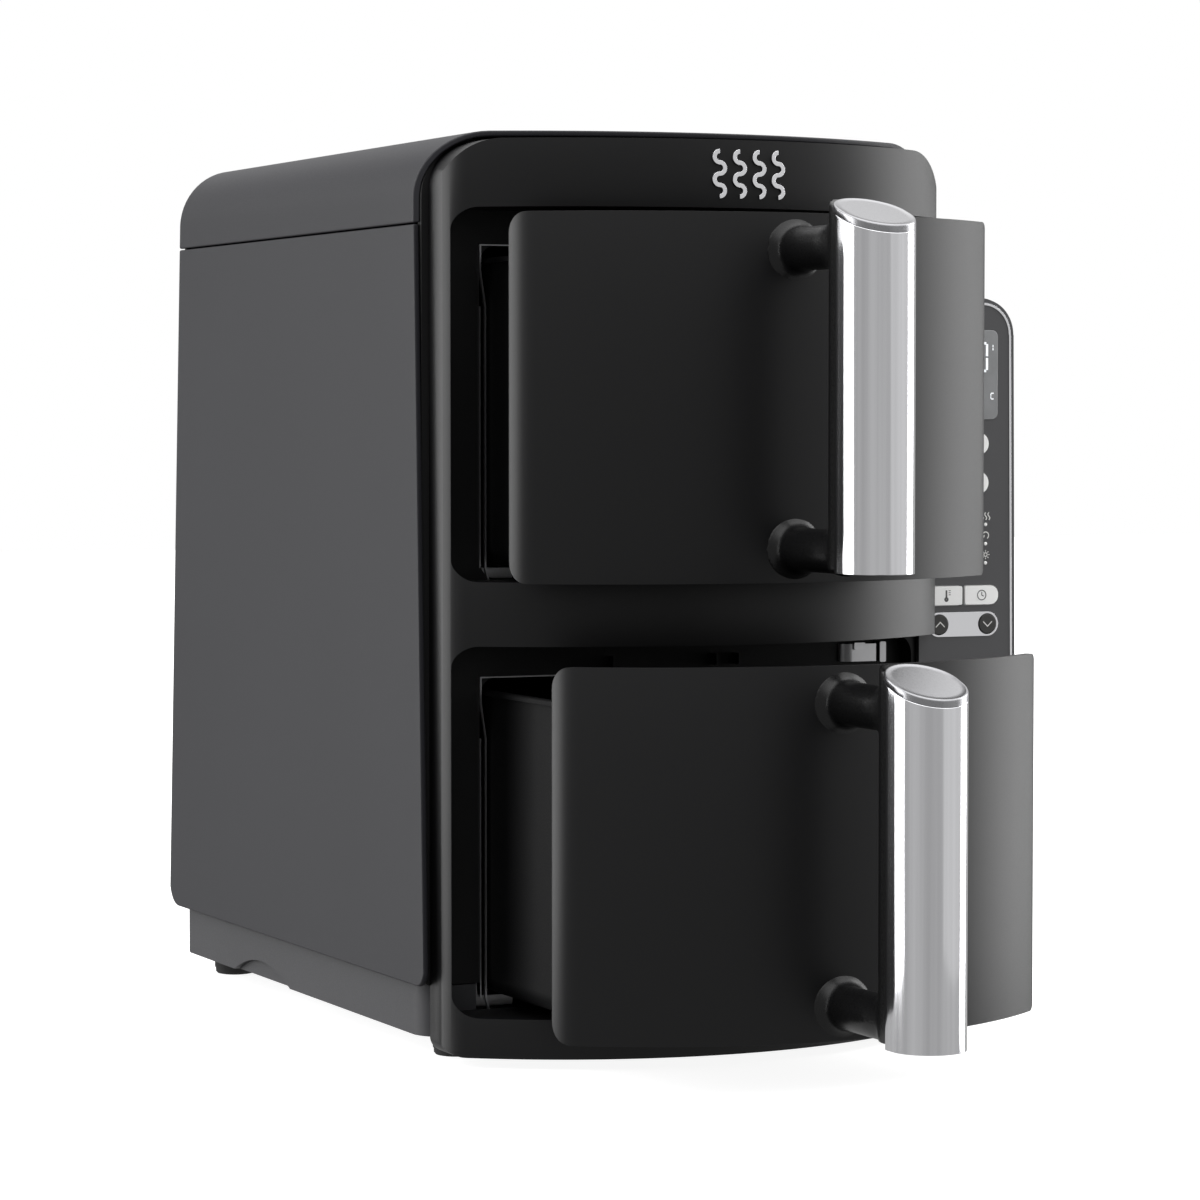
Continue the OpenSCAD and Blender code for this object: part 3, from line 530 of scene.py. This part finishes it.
def skin_columns(line, corners):
    """Places along a line, with the trim of its height that rounds both ends."""
    run = [0.0]
    for a, b in zip(line, line[1:]):
        run.append(run[-1] + math.dist(a, b))
    length = run[-1]

    def at(s):
        k = max(i for i in range(len(run) - 1) if run[i] <= s + 1e-12)
        t = (s - run[k]) / (run[k + 1] - run[k])
        return Vector(line[k]).lerp(Vector(line[k + 1]), t)

    first_r, last_r = corners
    near = 0.0004
    turns = [math.radians(a) for a in range(0, 91, 9)]
    columns = [(first_r * (1 - math.cos(a)), first_r * (1 - math.sin(a))) for a in turns]
    columns += [(s, 0) for s in run if first_r + near < s < length - last_r - near]
    columns += [(length - last_r * (1 - math.cos(a)), last_r * (1 - math.sin(a))) for a in reversed(turns)]
    placed = []
    for s, trim in columns:
        ahead, back = at(min(length, s + near)), at(max(0, s - near))
        run_way = (ahead - back).normalized()
        placed.append((at(s), Vector((run_way.y, -run_way.x)), trim))
    return placed


def bowed_skin(line, low_z, high_z, thickness, corners):
    """A bowed plate of even thickness whose four corners are rounded on the curve."""
    bm = bmesh.new()
    columns = []
    for place, out, trim in skin_columns(line, corners):
        inside = place - out * thickness
        corners_round = ((place, low_z + trim), (place, high_z - trim), (inside, high_z - trim),
                         (inside, low_z + trim))
        columns.append([bm.verts.new((p.x, p.y, z)) for p, z in corners_round])
    for a, b in zip(columns, columns[1:]):
        for k in range(4):
            n = (k + 1) % 4
            bm.faces.new((a[k], b[k], b[n], a[n]))
    bm.faces.new(columns[0])
    bm.faces.new(list(reversed(columns[-1])))
    return outward(bm)


def deep_drawn(low, high, wall, rim_w, bottom_r, corners):
    """A basket pressed from sheet: rounded bottom, upright walls and a rolled rim."""
    roll, lip_ease, under_rim, inner_r = 0.0011, 0.0006, 0.0004, bottom_r - wall

    def ring(inset, z):
        radii = [max(0.001, r - inset) for r in corners]
        return [(x, y, z) for x, y in rounded_box(low.x + rim_w + inset, high.x - rim_w - inset,
                                                  low.y + max(inset, 0), high.y - rim_w - inset, radii, 10)]

    turns = [math.radians(a) for a in range(0, 91, 10)]
    outside = [ring(bottom_r * (1 - math.sin(a)), low.z + bottom_r * (1 - math.cos(a))) for a in turns]
    over = [ring(0, high.z - 2 * roll - under_rim), ring(-rim_w, high.z - 2 * roll)]
    over += [ring(-rim_w + roll * (1 - math.cos(a)), high.z - roll + roll * math.sin(a)) for a in turns[::3]]
    inside = [ring(wall - lip_ease, high.z), ring(wall, high.z - lip_ease)]
    inside += [ring(wall + inner_r * (1 - math.sin(a)), low.z + wall + inner_r * (1 - math.cos(a)))
               for a in reversed(turns)]
    return outward(stacked(outside + over + inside))


for level in LEVELS:
    drawer = f"{level}_drawer"
    low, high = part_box(f"{level}_drawer_front")
    line = bow_line(skin_r, middle_x, low.y, low.x - skin_overhang, high.x, high.y, (skin_ease, 0), 70)
    if abs(line[-1][0] - line[-2][0]) < 1e-5:
        line = line[:-1]
    skin = bowed_skin(line, low.z, high.z, skin_t, corner_r)
    sunk = 0.0004
    inner_line = [place - out * (skin_t - sunk)
                  for place, out, trim in skin_columns(line, corner_r) if trim == 0]
    tray = [(p.x, p.y) for p in inner_line if p.y < high.y - 0.0005]
    tray = [(tray[0][0], high.y)] + tray + [(tray[-1][0], high.y)]
    floor_plate = prism(tray, low.z + sunk, low.z + skin_t, "Z")
    front = made(f"{level}_drawer_skin", merged([skin, floor_plate]), drawer_black)
    eased(front, skin_edge_r, 3, 40)
    fit(front, drawer, "satin_black", f"{level}_drawer_front")
    insert = f"{level}_drawer_insert"
    fit(soft_edged(insert, 0.0006, deep_black), drawer, "deep_black", insert)
    low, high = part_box(f"{level}_basket")
    sheet = deep_drawn(low, high, wall=0.0015, rim_w=0.002, bottom_r=0.009,
                       corners=(0.012, 0.012, 0.026, 0.026))
    basket = made(f"{level}_basket_drawn", sheet, nonstick, 60)
    fit(basket, drawer, "nonstick", f"{level}_basket")

# Crisper plates ---------------------------------------------------------------
# A perforated plate stands in each basket on four red silicone feet. The plate
# is pressed from coated sheet, and its holes have soft edges.

silicone = grained(finish("red_silicone", (0.30, 0.045, 0.035), 0.55, Subsurface_Weight=0.05),
                   900, 0.00003)
for level in LEVELS:
    plate, holed, feet = f"{level}_plate", f"{level}_crisper_plate", f"{level}_plate_feet"
    fit(soft_edged(holed, 0.0005, nonstick, steps=2), plate, "nonstick", holed)
    fit(soft_edged(feet, 0.0010, silicone), plate, "silicone", feet)

# Handles ----------------------------------------------------------------------
# The grip is a polished steel channel over a black bracket, closed by a slanted
# satin cap with a raised rim. Two thick arms flare out where they meet the skin.

steel = grained(finish("polished_steel", (0.76, 0.76, 0.78), 0.12, 1.0), 900, 0.0000020, (1, 1, 0.006),
                gloss_spread=0.03, tint=0.17, blotch_per_m=150, streaked=True)
satin_metal = grained(finish("satin_cap", (0.30, 0.30, 0.31), 0.30, 1.0), 2400, 0.000004, gloss_spread=0.05)
bracket_black = grained(finish("bracket_black", (0.0040, 0.0040, 0.0042), 0.30, Specular_IOR_Level=0.3),
                        3000, 0.000012, tint=0.03)


def pill(middle, radius, flat, steps=40):
    """Points around a pill whose straight sides run along Y, from the right, anticlockwise."""
    points = []
    for k in range(2 * steps + 2):
        half = 1 if k <= steps else -1
        angle = math.pi * (k if half > 0 else k - 1) / steps
        points.append((middle[0] + radius * math.cos(angle),
                       middle[1] + half * flat / 2 + radius * math.sin(angle)))
    return points


for level in LEVELS:
    drawer = f"{level}_drawer"
    bar_low, bar_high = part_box(f"{level}_handle_bar")
    cap_low, cap_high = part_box(f"{level}_handle_cap")
    grip_r = (bar_high.x - bar_low.x) / 2
    grip = ((bar_low.x + bar_high.x) / 2, (cap_low.y + cap_high.y) / 2)
    grip_flat = cap_high.y - cap_low.y - 2 * grip_r
    cap_t = 0.003
    slope = (cap_high.z - cap_low.z - cap_t) / (cap_high.y - cap_low.y)
    bar_t, bar_edge_r, bar_back = 0.0015, 0.0004, bar_high.y

    def bar_top(y):
        return bar_high.z + slope * (y - bar_high.y)

    outer = [p for p in pill(grip, grip_r, grip_flat, 90) if p[1] < bar_back]
    inner = [p for p in pill(grip, grip_r - bar_t, grip_flat, 90) if p[1] < bar_back]
    shell = sorted(outer, key=lambda p: math.atan2(p[0] - grip[0], grip[1] - p[1]))
    lining = sorted(inner, key=lambda p: -math.atan2(p[0] - grip[0], grip[1] - p[1]))
    section = shell + lining
    channel = stacked([[(x, y, bar_low.z) for x, y in section], [(x, y, bar_top(y)) for x, y in section]])
    bar = made(f"{level}_handle_channel", outward(channel), steel)
    eased(bar, bar_edge_r, 3, 50)
    fit(bar, drawer, "polished_steel", f"{level}_handle_bar")

    lip_w, lip_h, dish = 0.0011, 0.0009, 0.00018
    profile = [(0.0003, -cap_t), (0, -cap_t + 0.0003)]
    profile += [(lip_w / 2 * (1 - math.cos(a)), -lip_h + lip_h * math.sin(a))
                for a in (math.radians(d) for d in range(0, 91, 15))]
    profile += [(lip_w, -dish / 2), (lip_w * 1.15, -dish), (lip_w * 3, -dish), (grip_r * 0.6, -dish)]
    rings = [[(x, y, bar_top(y) + cap_t + dz) for x, y in pill(grip, grip_r - inset, grip_flat, 64)]
             for inset, dz in profile]
    fit(made(f"{level}_handle_cap_disc", outward(stacked(rings)), satin_metal, 50), drawer, "satin_cap",
        f"{level}_handle_cap")

    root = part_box(f"{level}_handle_bracket")[1].y + 0.0008
    screw_low, screw_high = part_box(f"{level}_handle_screws")
    screw_head_r = 0.0038
    arm_r, arm_w = 0.0088, 0.0088
    strip_w, strip_back = 0.0086, grip[1] + 0.0255
    strip_front = grip[1] - 0.004
    back_corner_r, front_corner_r = 0.0055, 0.002
    outline = []
    for cx, cy, first in ((1, -1, -90), (1, 1, 0), (-1, 1, 90), (-1, -1, 180)):
        r = back_corner_r if cy > 0 else front_corner_r
        mx = grip[0] + cx * (strip_w - r)
        my = (strip_back if cy > 0 else strip_front) - cy * r
        outline += [(mx + r * math.cos(math.radians(first + a)), my + r * math.sin(math.radians(first + a)))
                    for a in range(0, 91, 15)]
    parts = [stacked([[(x, y, bar_low.z) for x, y in outline], [(x, y, bar_top(y)) for x, y in outline]])]
    flare_root, flare_strip = 0.0052, 0.0085
    run = root - strip_back
    for z, up, down in ((screw_low.z + screw_head_r, 1, 0.12), (screw_high.z - screw_head_r, 1, 1)):
        rings = []
        sections, into_strip = 28, 0.006
        for k in range(sections + 1):
            y = strip_back - into_strip + (run + into_strip) * k / sections
            to_root = max(0, 1 - (root - 0.0008 - y) / flare_root)
            to_strip = min(1, max(0, 1 - (y - strip_back) / flare_strip))
            widen = flare_root * (1 - math.sqrt(max(0, 1 - min(1, to_root) ** 2)))
            grow = flare_strip * (1 - math.sqrt(max(0, 1 - to_strip ** 2))) * 0.75
            ring = []
            for a in (2 * math.pi * n / 40 for n in range(40)):
                side = up if math.sin(a) > 0 else down
                taper = 1 - 0.06 * to_strip
                ring.append((grip[0] + (arm_w * taper + widen) * math.cos(a), y,
                             z + (arm_r + widen + grow * side) * math.sin(a)))
            rings.append(ring)
        parts.append(stacked(rings))
    joined = outward(merged([outward(p) for p in parts]))
    bracket = made(f"{level}_handle_bracket_moulded", joined, bracket_black)
    fuse = bracket.modifiers.new("fuse", "REMESH")
    fuse.mode, fuse.voxel_size = "VOXEL", 0.0009
    ease = bracket.modifiers.new("ease", "SMOOTH")
    ease.factor, ease.iterations = 0.5, 7
    settle(bracket)
    bracket.data.shade_smooth()
    fit(bracket, drawer, "satin_black", f"{level}_handle_bracket")
    screws = f"{level}_handle_screws"
    fit(soft_edged(screws, 0.0003, plain_steel), drawer, "plain_steel", screws)

# Control pod ------------------------------------------------------------------
# A slim housing is fixed to the right side of the body. Its front is a smooth
# grey overlay with a bright line inside the edge, keys and a lit window.

pod_plastic = grained(finish("pod_plastic", (0.050, 0.050, 0.053), 0.32), 2600, 0.000015)
overlay = grained(finish("panel_overlay", (0.062, 0.062, 0.065), 0.22, Coat_Weight=0.25, Coat_Roughness=0.08),
                  500, 0.000002, gloss_spread=0.03, tint=0.03)
fit(soft_edged("pod_housing", 0.0012, pod_plastic), "body", "pod_plastic", "pod_housing")
fit(soft_edged("control_panel", 0.00035, overlay, steps=2), "body", "panel_gloss", "control_panel")
fit(soft_edged("panel_trim", 0.00012, bright, steps=2), "body", "bright_trim", "panel_trim")

# Display ----------------------------------------------------------------------
# A smoked window shows a temperature in large digits and a time in small ones.
# The digits are lit segments just proud of the window.

window = grained(finish("smoked_window", (0.23, 0.235, 0.24), 0.12, Coat_Weight=0.6, Coat_Roughness=0.04),
                 300, 0.000001, gloss_spread=0.02, tint=0.08, blotch_per_m=120)
lit_white = finish("lit_segments", (0.95, 0.96, 0.97), 0.4, Emission_Color=(0.9, 0.95, 1, 1),
                   Emission_Strength=0.35)
fit(soft_edged("display_window", 0.0003, window, steps=2), "body", "display", "display_window")

low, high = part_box("display_window")
glass_y = low.y
segments_of = {"0": "abcdef", "1": "bc", "2": "abdeg", "5": "acdfg", "C": "adef"}
segment_t = 0.00012


def digit(bm, sign, x, z, h, w, line):
    """A seven-segment sign of height h and width w with its lower left corner at x, z."""
    gap = line * 0.35
    left, right, middle, top = x, x + w, z + h / 2, z + h
    runs = {"a": ((left + gap, top), (right - gap, top)), "d": ((left + gap, z), (right - gap, z)),
            "g": ((left + gap, middle), (right - gap, middle)),
            "b": ((right, middle + gap), (right, top - gap)), "c": ((right, z + gap), (right, middle - gap)),
            "f": ((left, middle + gap), (left, top - gap)), "e": ((left, z + gap), (left, middle - gap))}
    for name in segments_of[sign]:
        ribbon(bm, runs[name], line, glass_y, segment_t)


digits = bmesh.new()
large_h, large_w, large_pitch, large_right, large_drop = 0.0120, 0.0058, 0.0084, 0.0056, 0.0178
small_h, small_w, small_pitch, small_left, small_rise = 0.0056, 0.0028, 0.0043, 0.0050, 0.0075
colon_w = 0.0018
for k, sign in enumerate("200"):
    digit(digits, sign, high.x - large_right - large_w - (2 - k) * large_pitch, high.z - large_drop,
          large_h, large_w, 0.0011)
digit(digits, "1", high.x - 0.0040, high.z - 0.0090, 0.0027, 0.0014, 0.00045)
digit(digits, "C", high.x - 0.0036, low.z + 0.0090, 0.0025, 0.0016, 0.0005)
for k, sign in enumerate("1500"):
    digit(digits, sign, low.x + small_left + k * small_pitch + (colon_w if k > 1 else 0), low.z + small_rise,
          small_h, small_w, 0.0006)
colon_x = low.x + small_left + 2 * small_pitch - 0.0004
for dz in (0.0016, 0.0040):
    dot = ((colon_x, low.z + small_rise + dz), (colon_x, low.z + small_rise + 0.0006 + dz))
    ribbon(digits, dot, 0.0006, glass_y, segment_t)
fit(made("display_digits", outward(digits), lit_white), "body", "display")

# Keys -------------------------------------------------------------------------
# Ten moulded keys stand a little proud of the overlay and carry printed marks:
# numbers, arrows and plain pictures instead of words.

# The white keys carry a faint painted glow from a small emission, though they are no lamps; the indicator
# lamps share this finish, and for them the glow is their own light.
key_white = grained(finish("key_white", (0.80, 0.80, 0.79), 0.34, Emission_Color=(1, 1, 1, 1),
                           Emission_Strength=0.10), 2000, 0.000006, tint=0.02)
key_dark = grained(finish("key_dark", (0.030, 0.029, 0.027), 0.36), 2000, 0.000008)
ink_dark = grained(finish("dark_ink", (0.09, 0.09, 0.09), 0.5), 2500, 0.000002)
ink_light = grained(finish("light_ink", (0.72, 0.72, 0.70), 0.5), 2500, 0.000002)
ink_t, above_key = 0.00008, 0.00001


def arc(x, z, r, first_deg, last_deg, steps=20):
    angles = [math.radians(first_deg + (last_deg - first_deg) * k / steps) for k in range(steps + 1)]
    return [(x + r * math.cos(a), z + r * math.sin(a)) for a in angles]


def draw_number_one(bm, x, z, y):
    ribbon(bm, ((x - 0.0010, z + 0.0012), (x + 0.0003, z + 0.0022), (x + 0.0003, z - 0.0022)),
           0.0006, y, ink_t)


def draw_number_two(bm, x, z, y):
    hook = arc(x, z + 0.0010, 0.0012, 165, -35, 10)
    ribbon(bm, hook + [(x - 0.0013, z - 0.0021), (x + 0.0014, z - 0.0021)], 0.0006, y, ink_t)


def draw_loop(bm, x, z, y):
    for turn in (0, 180):
        ribbon(bm, arc(x, z, 0.0020, 25 + turn, 155 + turn), 0.0005, y, ink_t)
        tip = arc(x, z, 0.0020, 25 + turn, 26 + turn, 1)[0]
        s = 1 if turn == 0 else -1
        barb = ((tip[0] - s * 0.0008, tip[1] - s * 0.0001), tip, (tip[0] + s * 0.0003, tip[1] + s * 0.0010))
        ribbon(bm, barb, 0.0005, y, ink_t)


def draw_equals(bm, x, z, y):
    for dz in (0.0008, -0.0008):
        ribbon(bm, ((x - 0.0017, z + dz), (x + 0.0017, z + dz)), 0.0006, y, ink_t)


def draw_thermometer(bm, x, z, y):
    ribbon(bm, ((x, z - 0.0008), (x, z + 0.0024)), 0.0008, y, ink_t)
    ribbon(bm, arc(x, z - 0.0016, 0.0006, 0, 342, 19), 0.0009, y, ink_t, closed=True)
    for dz in (0.0004, 0.0013, 0.0022):
        ribbon(bm, ((x + 0.0011, z + dz), (x + 0.0021, z + dz)), 0.0003, y, ink_t)


def draw_clock(bm, x, z, y):
    ribbon(bm, arc(x, z, 0.0021, 0, 351, 39), 0.0004, y, ink_t, closed=True)
    ribbon(bm, ((x, z + 0.0014), (x, z), (x + 0.0010, z - 0.0005)), 0.0004, y, ink_t)


def draw_chevron_up(bm, x, z, y):
    ribbon(bm, ((x - 0.0022, z - 0.0010), (x, z + 0.0011), (x + 0.0022, z - 0.0010)),
           0.00045, y, ink_t)


def draw_chevron_down(bm, x, z, y):
    ribbon(bm, ((x - 0.0022, z + 0.0010), (x, z - 0.0011), (x + 0.0022, z + 0.0010)),
           0.00045, y, ink_t)


def draw_start(bm, x, z, y):
    ribbon(bm, ((x - 0.0040, z - 0.0022), (x - 0.0040, z + 0.0022), (x - 0.0004, z)),
           0.0006, y, ink_t, closed=True)
    for dx in (0.0018, 0.0036):
        ribbon(bm, ((x + dx, z - 0.0022), (x + dx, z + 0.0022)), 0.0008, y, ink_t)


def draw_power(bm, x, z, y):
    ribbon(bm, arc(x, z, 0.0027, 120, 420, 40), 0.0006, y, ink_t)
    ribbon(bm, ((x, z + 0.0008), (x, z + 0.0034)), 0.0006, y, ink_t)


key_marks = {"zone_1": draw_number_one, "zone_2": draw_number_two, "sync": draw_loop, "match": draw_equals,
             "temp": draw_thermometer, "time": draw_clock, "up": draw_chevron_up, "down": draw_chevron_down,
             "start": draw_start, "power": draw_power}
for key, draw in key_marks.items():
    node = f"{key}_button"
    dark = key in ("up", "down")
    fit(soft_edged(node, 0.0003, key_dark if dark else key_white, steps=3), f"{key}_key",
        "key_dark" if dark else "key_white", node)
    low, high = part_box(node)
    mark = bmesh.new()
    draw(mark, (low.x + high.x) / 2, (low.z + high.z) / 2, low.y + above_key)
    fit(made(f"{key}_mark", outward(mark), ink_light if dark else ink_dark), f"{key}_key",
        "key_white" if dark else "key_dark")

# Function marks ---------------------------------------------------------------
# Two columns of small pictures with an indicator lamp under each name what the
# oven can do: grill, bake, fry, roast, reheat and dry.


def draw_waves(bm, x, z, y):
    for dx in (-0.0016, 0, 0.0016):
        wave = [(x + dx + 0.0005 * math.sin(t * 2 * math.pi / 10), z - 0.0016 + t * 0.00032)
                for t in range(11)]
        ribbon(bm, wave, 0.00045, y, ink_t)


def draw_return(bm, x, z, y):
    ribbon(bm, arc(x, z, 0.0015, -60, 215), 0.00045, y, ink_t)
    ribbon(bm, ((x - 0.0023, z - 0.0004), (x - 0.0012, z - 0.0010), (x - 0.0006, z + 0.0001)),
           0.00045, y, ink_t)


def draw_drop(bm, x, z, y):
    ribbon(bm, arc(x, z - 0.0004, 0.0012, 150, 390) + [(x, z + 0.0019)], 0.00045, y, ink_t, closed=True)


def draw_sun(bm, x, z, y):
    ribbon(bm, arc(x, z, 0.0008, 0, 342, 19), 0.0004, y, ink_t, closed=True)
    for a in range(0, 360, 45):
        c, s = math.cos(math.radians(a)), math.sin(math.radians(a))
        ribbon(bm, ((x + 0.0013 * c, z + 0.0013 * s), (x + 0.0020 * c, z + 0.0020 * s)), 0.00035, y, ink_t)


def draw_bars(bm, x, z, y):
    for dz in (-0.0012, 0, 0.0012):
        ribbon(bm, ((x - 0.0018, z + dz), (x + 0.0018, z + dz)), 0.0004, y, ink_t)


def draw_flame(bm, x, z, y):
    ribbon(bm, [(x, z + 0.0020), (x + 0.0012, z + 0.0002), (x + 0.0010, z - 0.0012), (x, z - 0.0017),
                (x - 0.0010, z - 0.0012), (x - 0.0011, z + 0.0001), (x - 0.0004, z + 0.0004)],
           0.0004, y, ink_t, closed=True)


marks = bmesh.new()
lamps = []
column_x = (panel_low.x + 0.0127, panel_low.x + 0.0331)
first_row, row_pitch, lamp_drop, lamp_r, lamp_h = panel_low.z + 0.1988, 0.0084, 0.003625, 0.0008, 0.00022
pictures = ((draw_bars, draw_flame, draw_drop), (draw_waves, draw_return, draw_sun))
for x, column in zip(column_x, pictures):
    for row, draw in enumerate(column):
        z = first_row - row * row_pitch
        draw(marks, x, z, panel_low.y + above_key)
        domed = [(lamp_r - lamp_r * t * t * 0.5, lamp_h * t) for t in (0, 0.5, 0.85, 1)]
        lamp = stacked([[(x + r * math.cos(a), panel_low.y + 0.00002 - d, z - lamp_drop + r * math.sin(a))
                         for a in (2 * math.pi * k / 24 for k in range(24))] for r, d in domed])
        lamps.append(outward(lamp))
fit(made("function_marks", outward(marks), ink_light), "body", "key_white")
fit(made("indicator_lamps", merged(lamps), key_white), "body", "key_white")

# Rear cover and grille --------------------------------------------------------
# The leaning rear wall carries a raised exhaust hood with long slots. Fixed
# louvre blades stand behind the slots, and a mesh behind them keeps fluff out.

hood_black = grained(finish("hood_black", (0.009, 0.009, 0.0095), 0.48), 2200, 0.00003)
fit(soft_edged("rear_cover", 0.0008, hood_black), "body", "satin_black", "rear_cover")
fit(soft_edged("rear_grille", 0.0008, hood_black), "body", "satin_black", "rear_grille")


def row_tree(name):
    """Nodes that repeat a small bar along a line: its size, tilt, first place, step and count."""
    tree = bpy.data.node_groups.new(name, "GeometryNodeTree")
    face = tree.interface
    face.new_socket("Geometry", in_out="OUTPUT", socket_type="NodeSocketGeometry")
    face.new_socket("Size", in_out="INPUT", socket_type="NodeSocketVector")
    face.new_socket("Tilt", in_out="INPUT", socket_type="NodeSocketVector")
    face.new_socket("First place", in_out="INPUT", socket_type="NodeSocketVector")
    face.new_socket("Step", in_out="INPUT", socket_type="NodeSocketVector")
    face.new_socket("Count", in_out="INPUT", socket_type="NodeSocketInt")
    face.new_socket("Finish", in_out="INPUT", socket_type="NodeSocketMaterial")
    given = tree.nodes.new("NodeGroupInput")
    result = tree.nodes.new("NodeGroupOutput")
    line = tree.nodes.new("GeometryNodeMeshLine")
    line.mode = "OFFSET"
    bar = tree.nodes.new("GeometryNodeMeshCube")
    spread = tree.nodes.new("GeometryNodeInstanceOnPoints")
    real = tree.nodes.new("GeometryNodeRealizeInstances")
    coat = tree.nodes.new("GeometryNodeSetMaterial")
    tree.links.new(given.outputs["First place"], line.inputs["Start Location"])
    tree.links.new(given.outputs["Step"], line.inputs["Offset"])
    tree.links.new(given.outputs["Count"], line.inputs["Count"])
    tree.links.new(given.outputs["Size"], bar.inputs["Size"])
    tree.links.new(line.outputs["Mesh"], spread.inputs["Points"])
    tree.links.new(bar.outputs["Mesh"], spread.inputs["Instance"])
    tree.links.new(given.outputs["Tilt"], spread.inputs["Rotation"])
    tree.links.new(spread.outputs["Instances"], real.inputs["Geometry"])
    tree.links.new(real.outputs["Geometry"], coat.inputs["Geometry"])
    tree.links.new(given.outputs["Finish"], coat.inputs["Material"])
    tree.links.new(coat.outputs["Geometry"], result.inputs["Geometry"])
    return tree


rows = row_tree("row_of_bars")


def row_of_bars(name, size, tilt, first, step, count, material, edge):
    """A row made by the nodes above, then given rounded edges and turned into mesh."""
    piece = new_piece(name, bpy.data.meshes.new(name), material)
    nodes_modifier = piece.modifiers.new("rows", "NODES")
    nodes_modifier.node_group = rows
    values = {"Size": size, "Tilt": tilt, "First place": first, "Step": step, "Count": count,
              "Finish": material}
    for socket in rows.interface.items_tree:
        if socket.in_out == "INPUT":
            nodes_modifier[socket.identifier] = values[socket.name]
    settle(piece)
    return eased(piece, edge, 2)


low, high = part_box("rear_grille")
slot_pitch, slot_margin, frame_w = 0.014, 0.016, 0.010
blade_w, blade_t, blade_tilt, wire_t, wire_pitch = 0.0052, 0.0012, math.radians(-32), 0.0006, 0.005
slots = int((high.z - low.z - 2 * slot_margin) / slot_pitch + 1e-6) + 1
width = high.x - low.x
fit(row_of_bars("hood_louvres", (width - 2 * frame_w, blade_w, blade_t), (blade_tilt, 0, 0),
                ((low.x + high.x) / 2, high.y - 0.0062, low.z + slot_margin - 0.003), (0, 0, slot_pitch),
                slots, hood_black, 0.0003), "body", "satin_black")
mesh_bars = int((width - 2 * frame_w) / wire_pitch)
fit(row_of_bars("hood_mesh", (wire_t, wire_t, high.z - low.z - 2 * frame_w), (0, 0, 0),
                (low.x + frame_w, high.y - 0.0098, (low.z + high.z) / 2), (wire_pitch, 0, 0), mesh_bars + 1,
                plain_steel, 0.0001), "body", "plain_steel")
fit(soft_edged("case_screws", 0.0005, plain_steel), "body", "plain_steel", "case_screws")
fit(soft_edged("cord_gland", 0.0012, rubber), "body", "deep_black", "cord_gland")

# Fans and heaters -------------------------------------------------------------
# Behind each box a motor turns a bladed disc in a pressed cup, with a three-turn
# ring heater and a slotted guard in front of it.

heater_metal = grained(finish("heat_darkened_tube", (0.15, 0.14, 0.13), 0.45, 1.0), 600, 0.00004, tint=0.3,
                       blotch_per_m=45)
fan_metal = grained(finish("stamped_aluminium", (0.62, 0.62, 0.63), 0.32, 1.0), 900, 0.00001)
motor_metal = grained(finish("motor_lacquer", (0.06, 0.06, 0.065), 0.45), 1200, 0.00003)
for node in ("mid_deck", "drawer_rails", "fan_guards", "fan_shrouds", "temperature_probes"):
    fit(soft_edged(node, 0.0003, plain_steel, steps=2), "body", "plain_steel", node)
fit(soft_edged("heating_elements", 0.0002, heater_metal, steps=1), "body", "heater_metal", "heating_elements")
fit(soft_edged("fan_motors", 0.0010, motor_metal), "body", "motor_metal", "fan_motors")
fit(soft_edged("drawer_switches", 0.0005, satin_black), "body", "satin_black", "drawer_switches")
for level in LEVELS:
    rotor, fan, shaft = f"{level}_fan_rotor", f"{level}_fan", f"{level}_fan_shaft"
    fit(soft_edged(fan, 0.0002, fan_metal, steps=2), rotor, "fan_aluminium", fan)
    fit(soft_edged(shaft, 0.0004, plain_steel), rotor, "plain_steel", shaft)

# Circuit boards ---------------------------------------------------------------
# The key board stands behind the overlay and the mains board along the pod. Both
# are green laminate with their parts soldered on.

board_green = grained(finish("circuit_board", (0.02, 0.12, 0.055), 0.4), 700, 0.00002, tint=0.25,
                      blotch_per_m=220)
fit(soft_edged("power_board", 0.0004, board_green), "body", "board", "power_board")
fit(soft_edged("control_board", 0.0002, board_green, steps=1), "body", "board", "control_board")
low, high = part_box("power_board")
fin_size, fin_pitch, fin_count = (0.010, 0.0012, 0.030), 0.0034, 8
fit(row_of_bars("heat_sink_fins", fin_size, (0, 0, 0), (low.x + 0.0066, low.y + 0.012, high.z - 0.025),
                (0, fin_pitch, 0), fin_count, fan_metal, 0.0002), "body", "fan_aluminium")
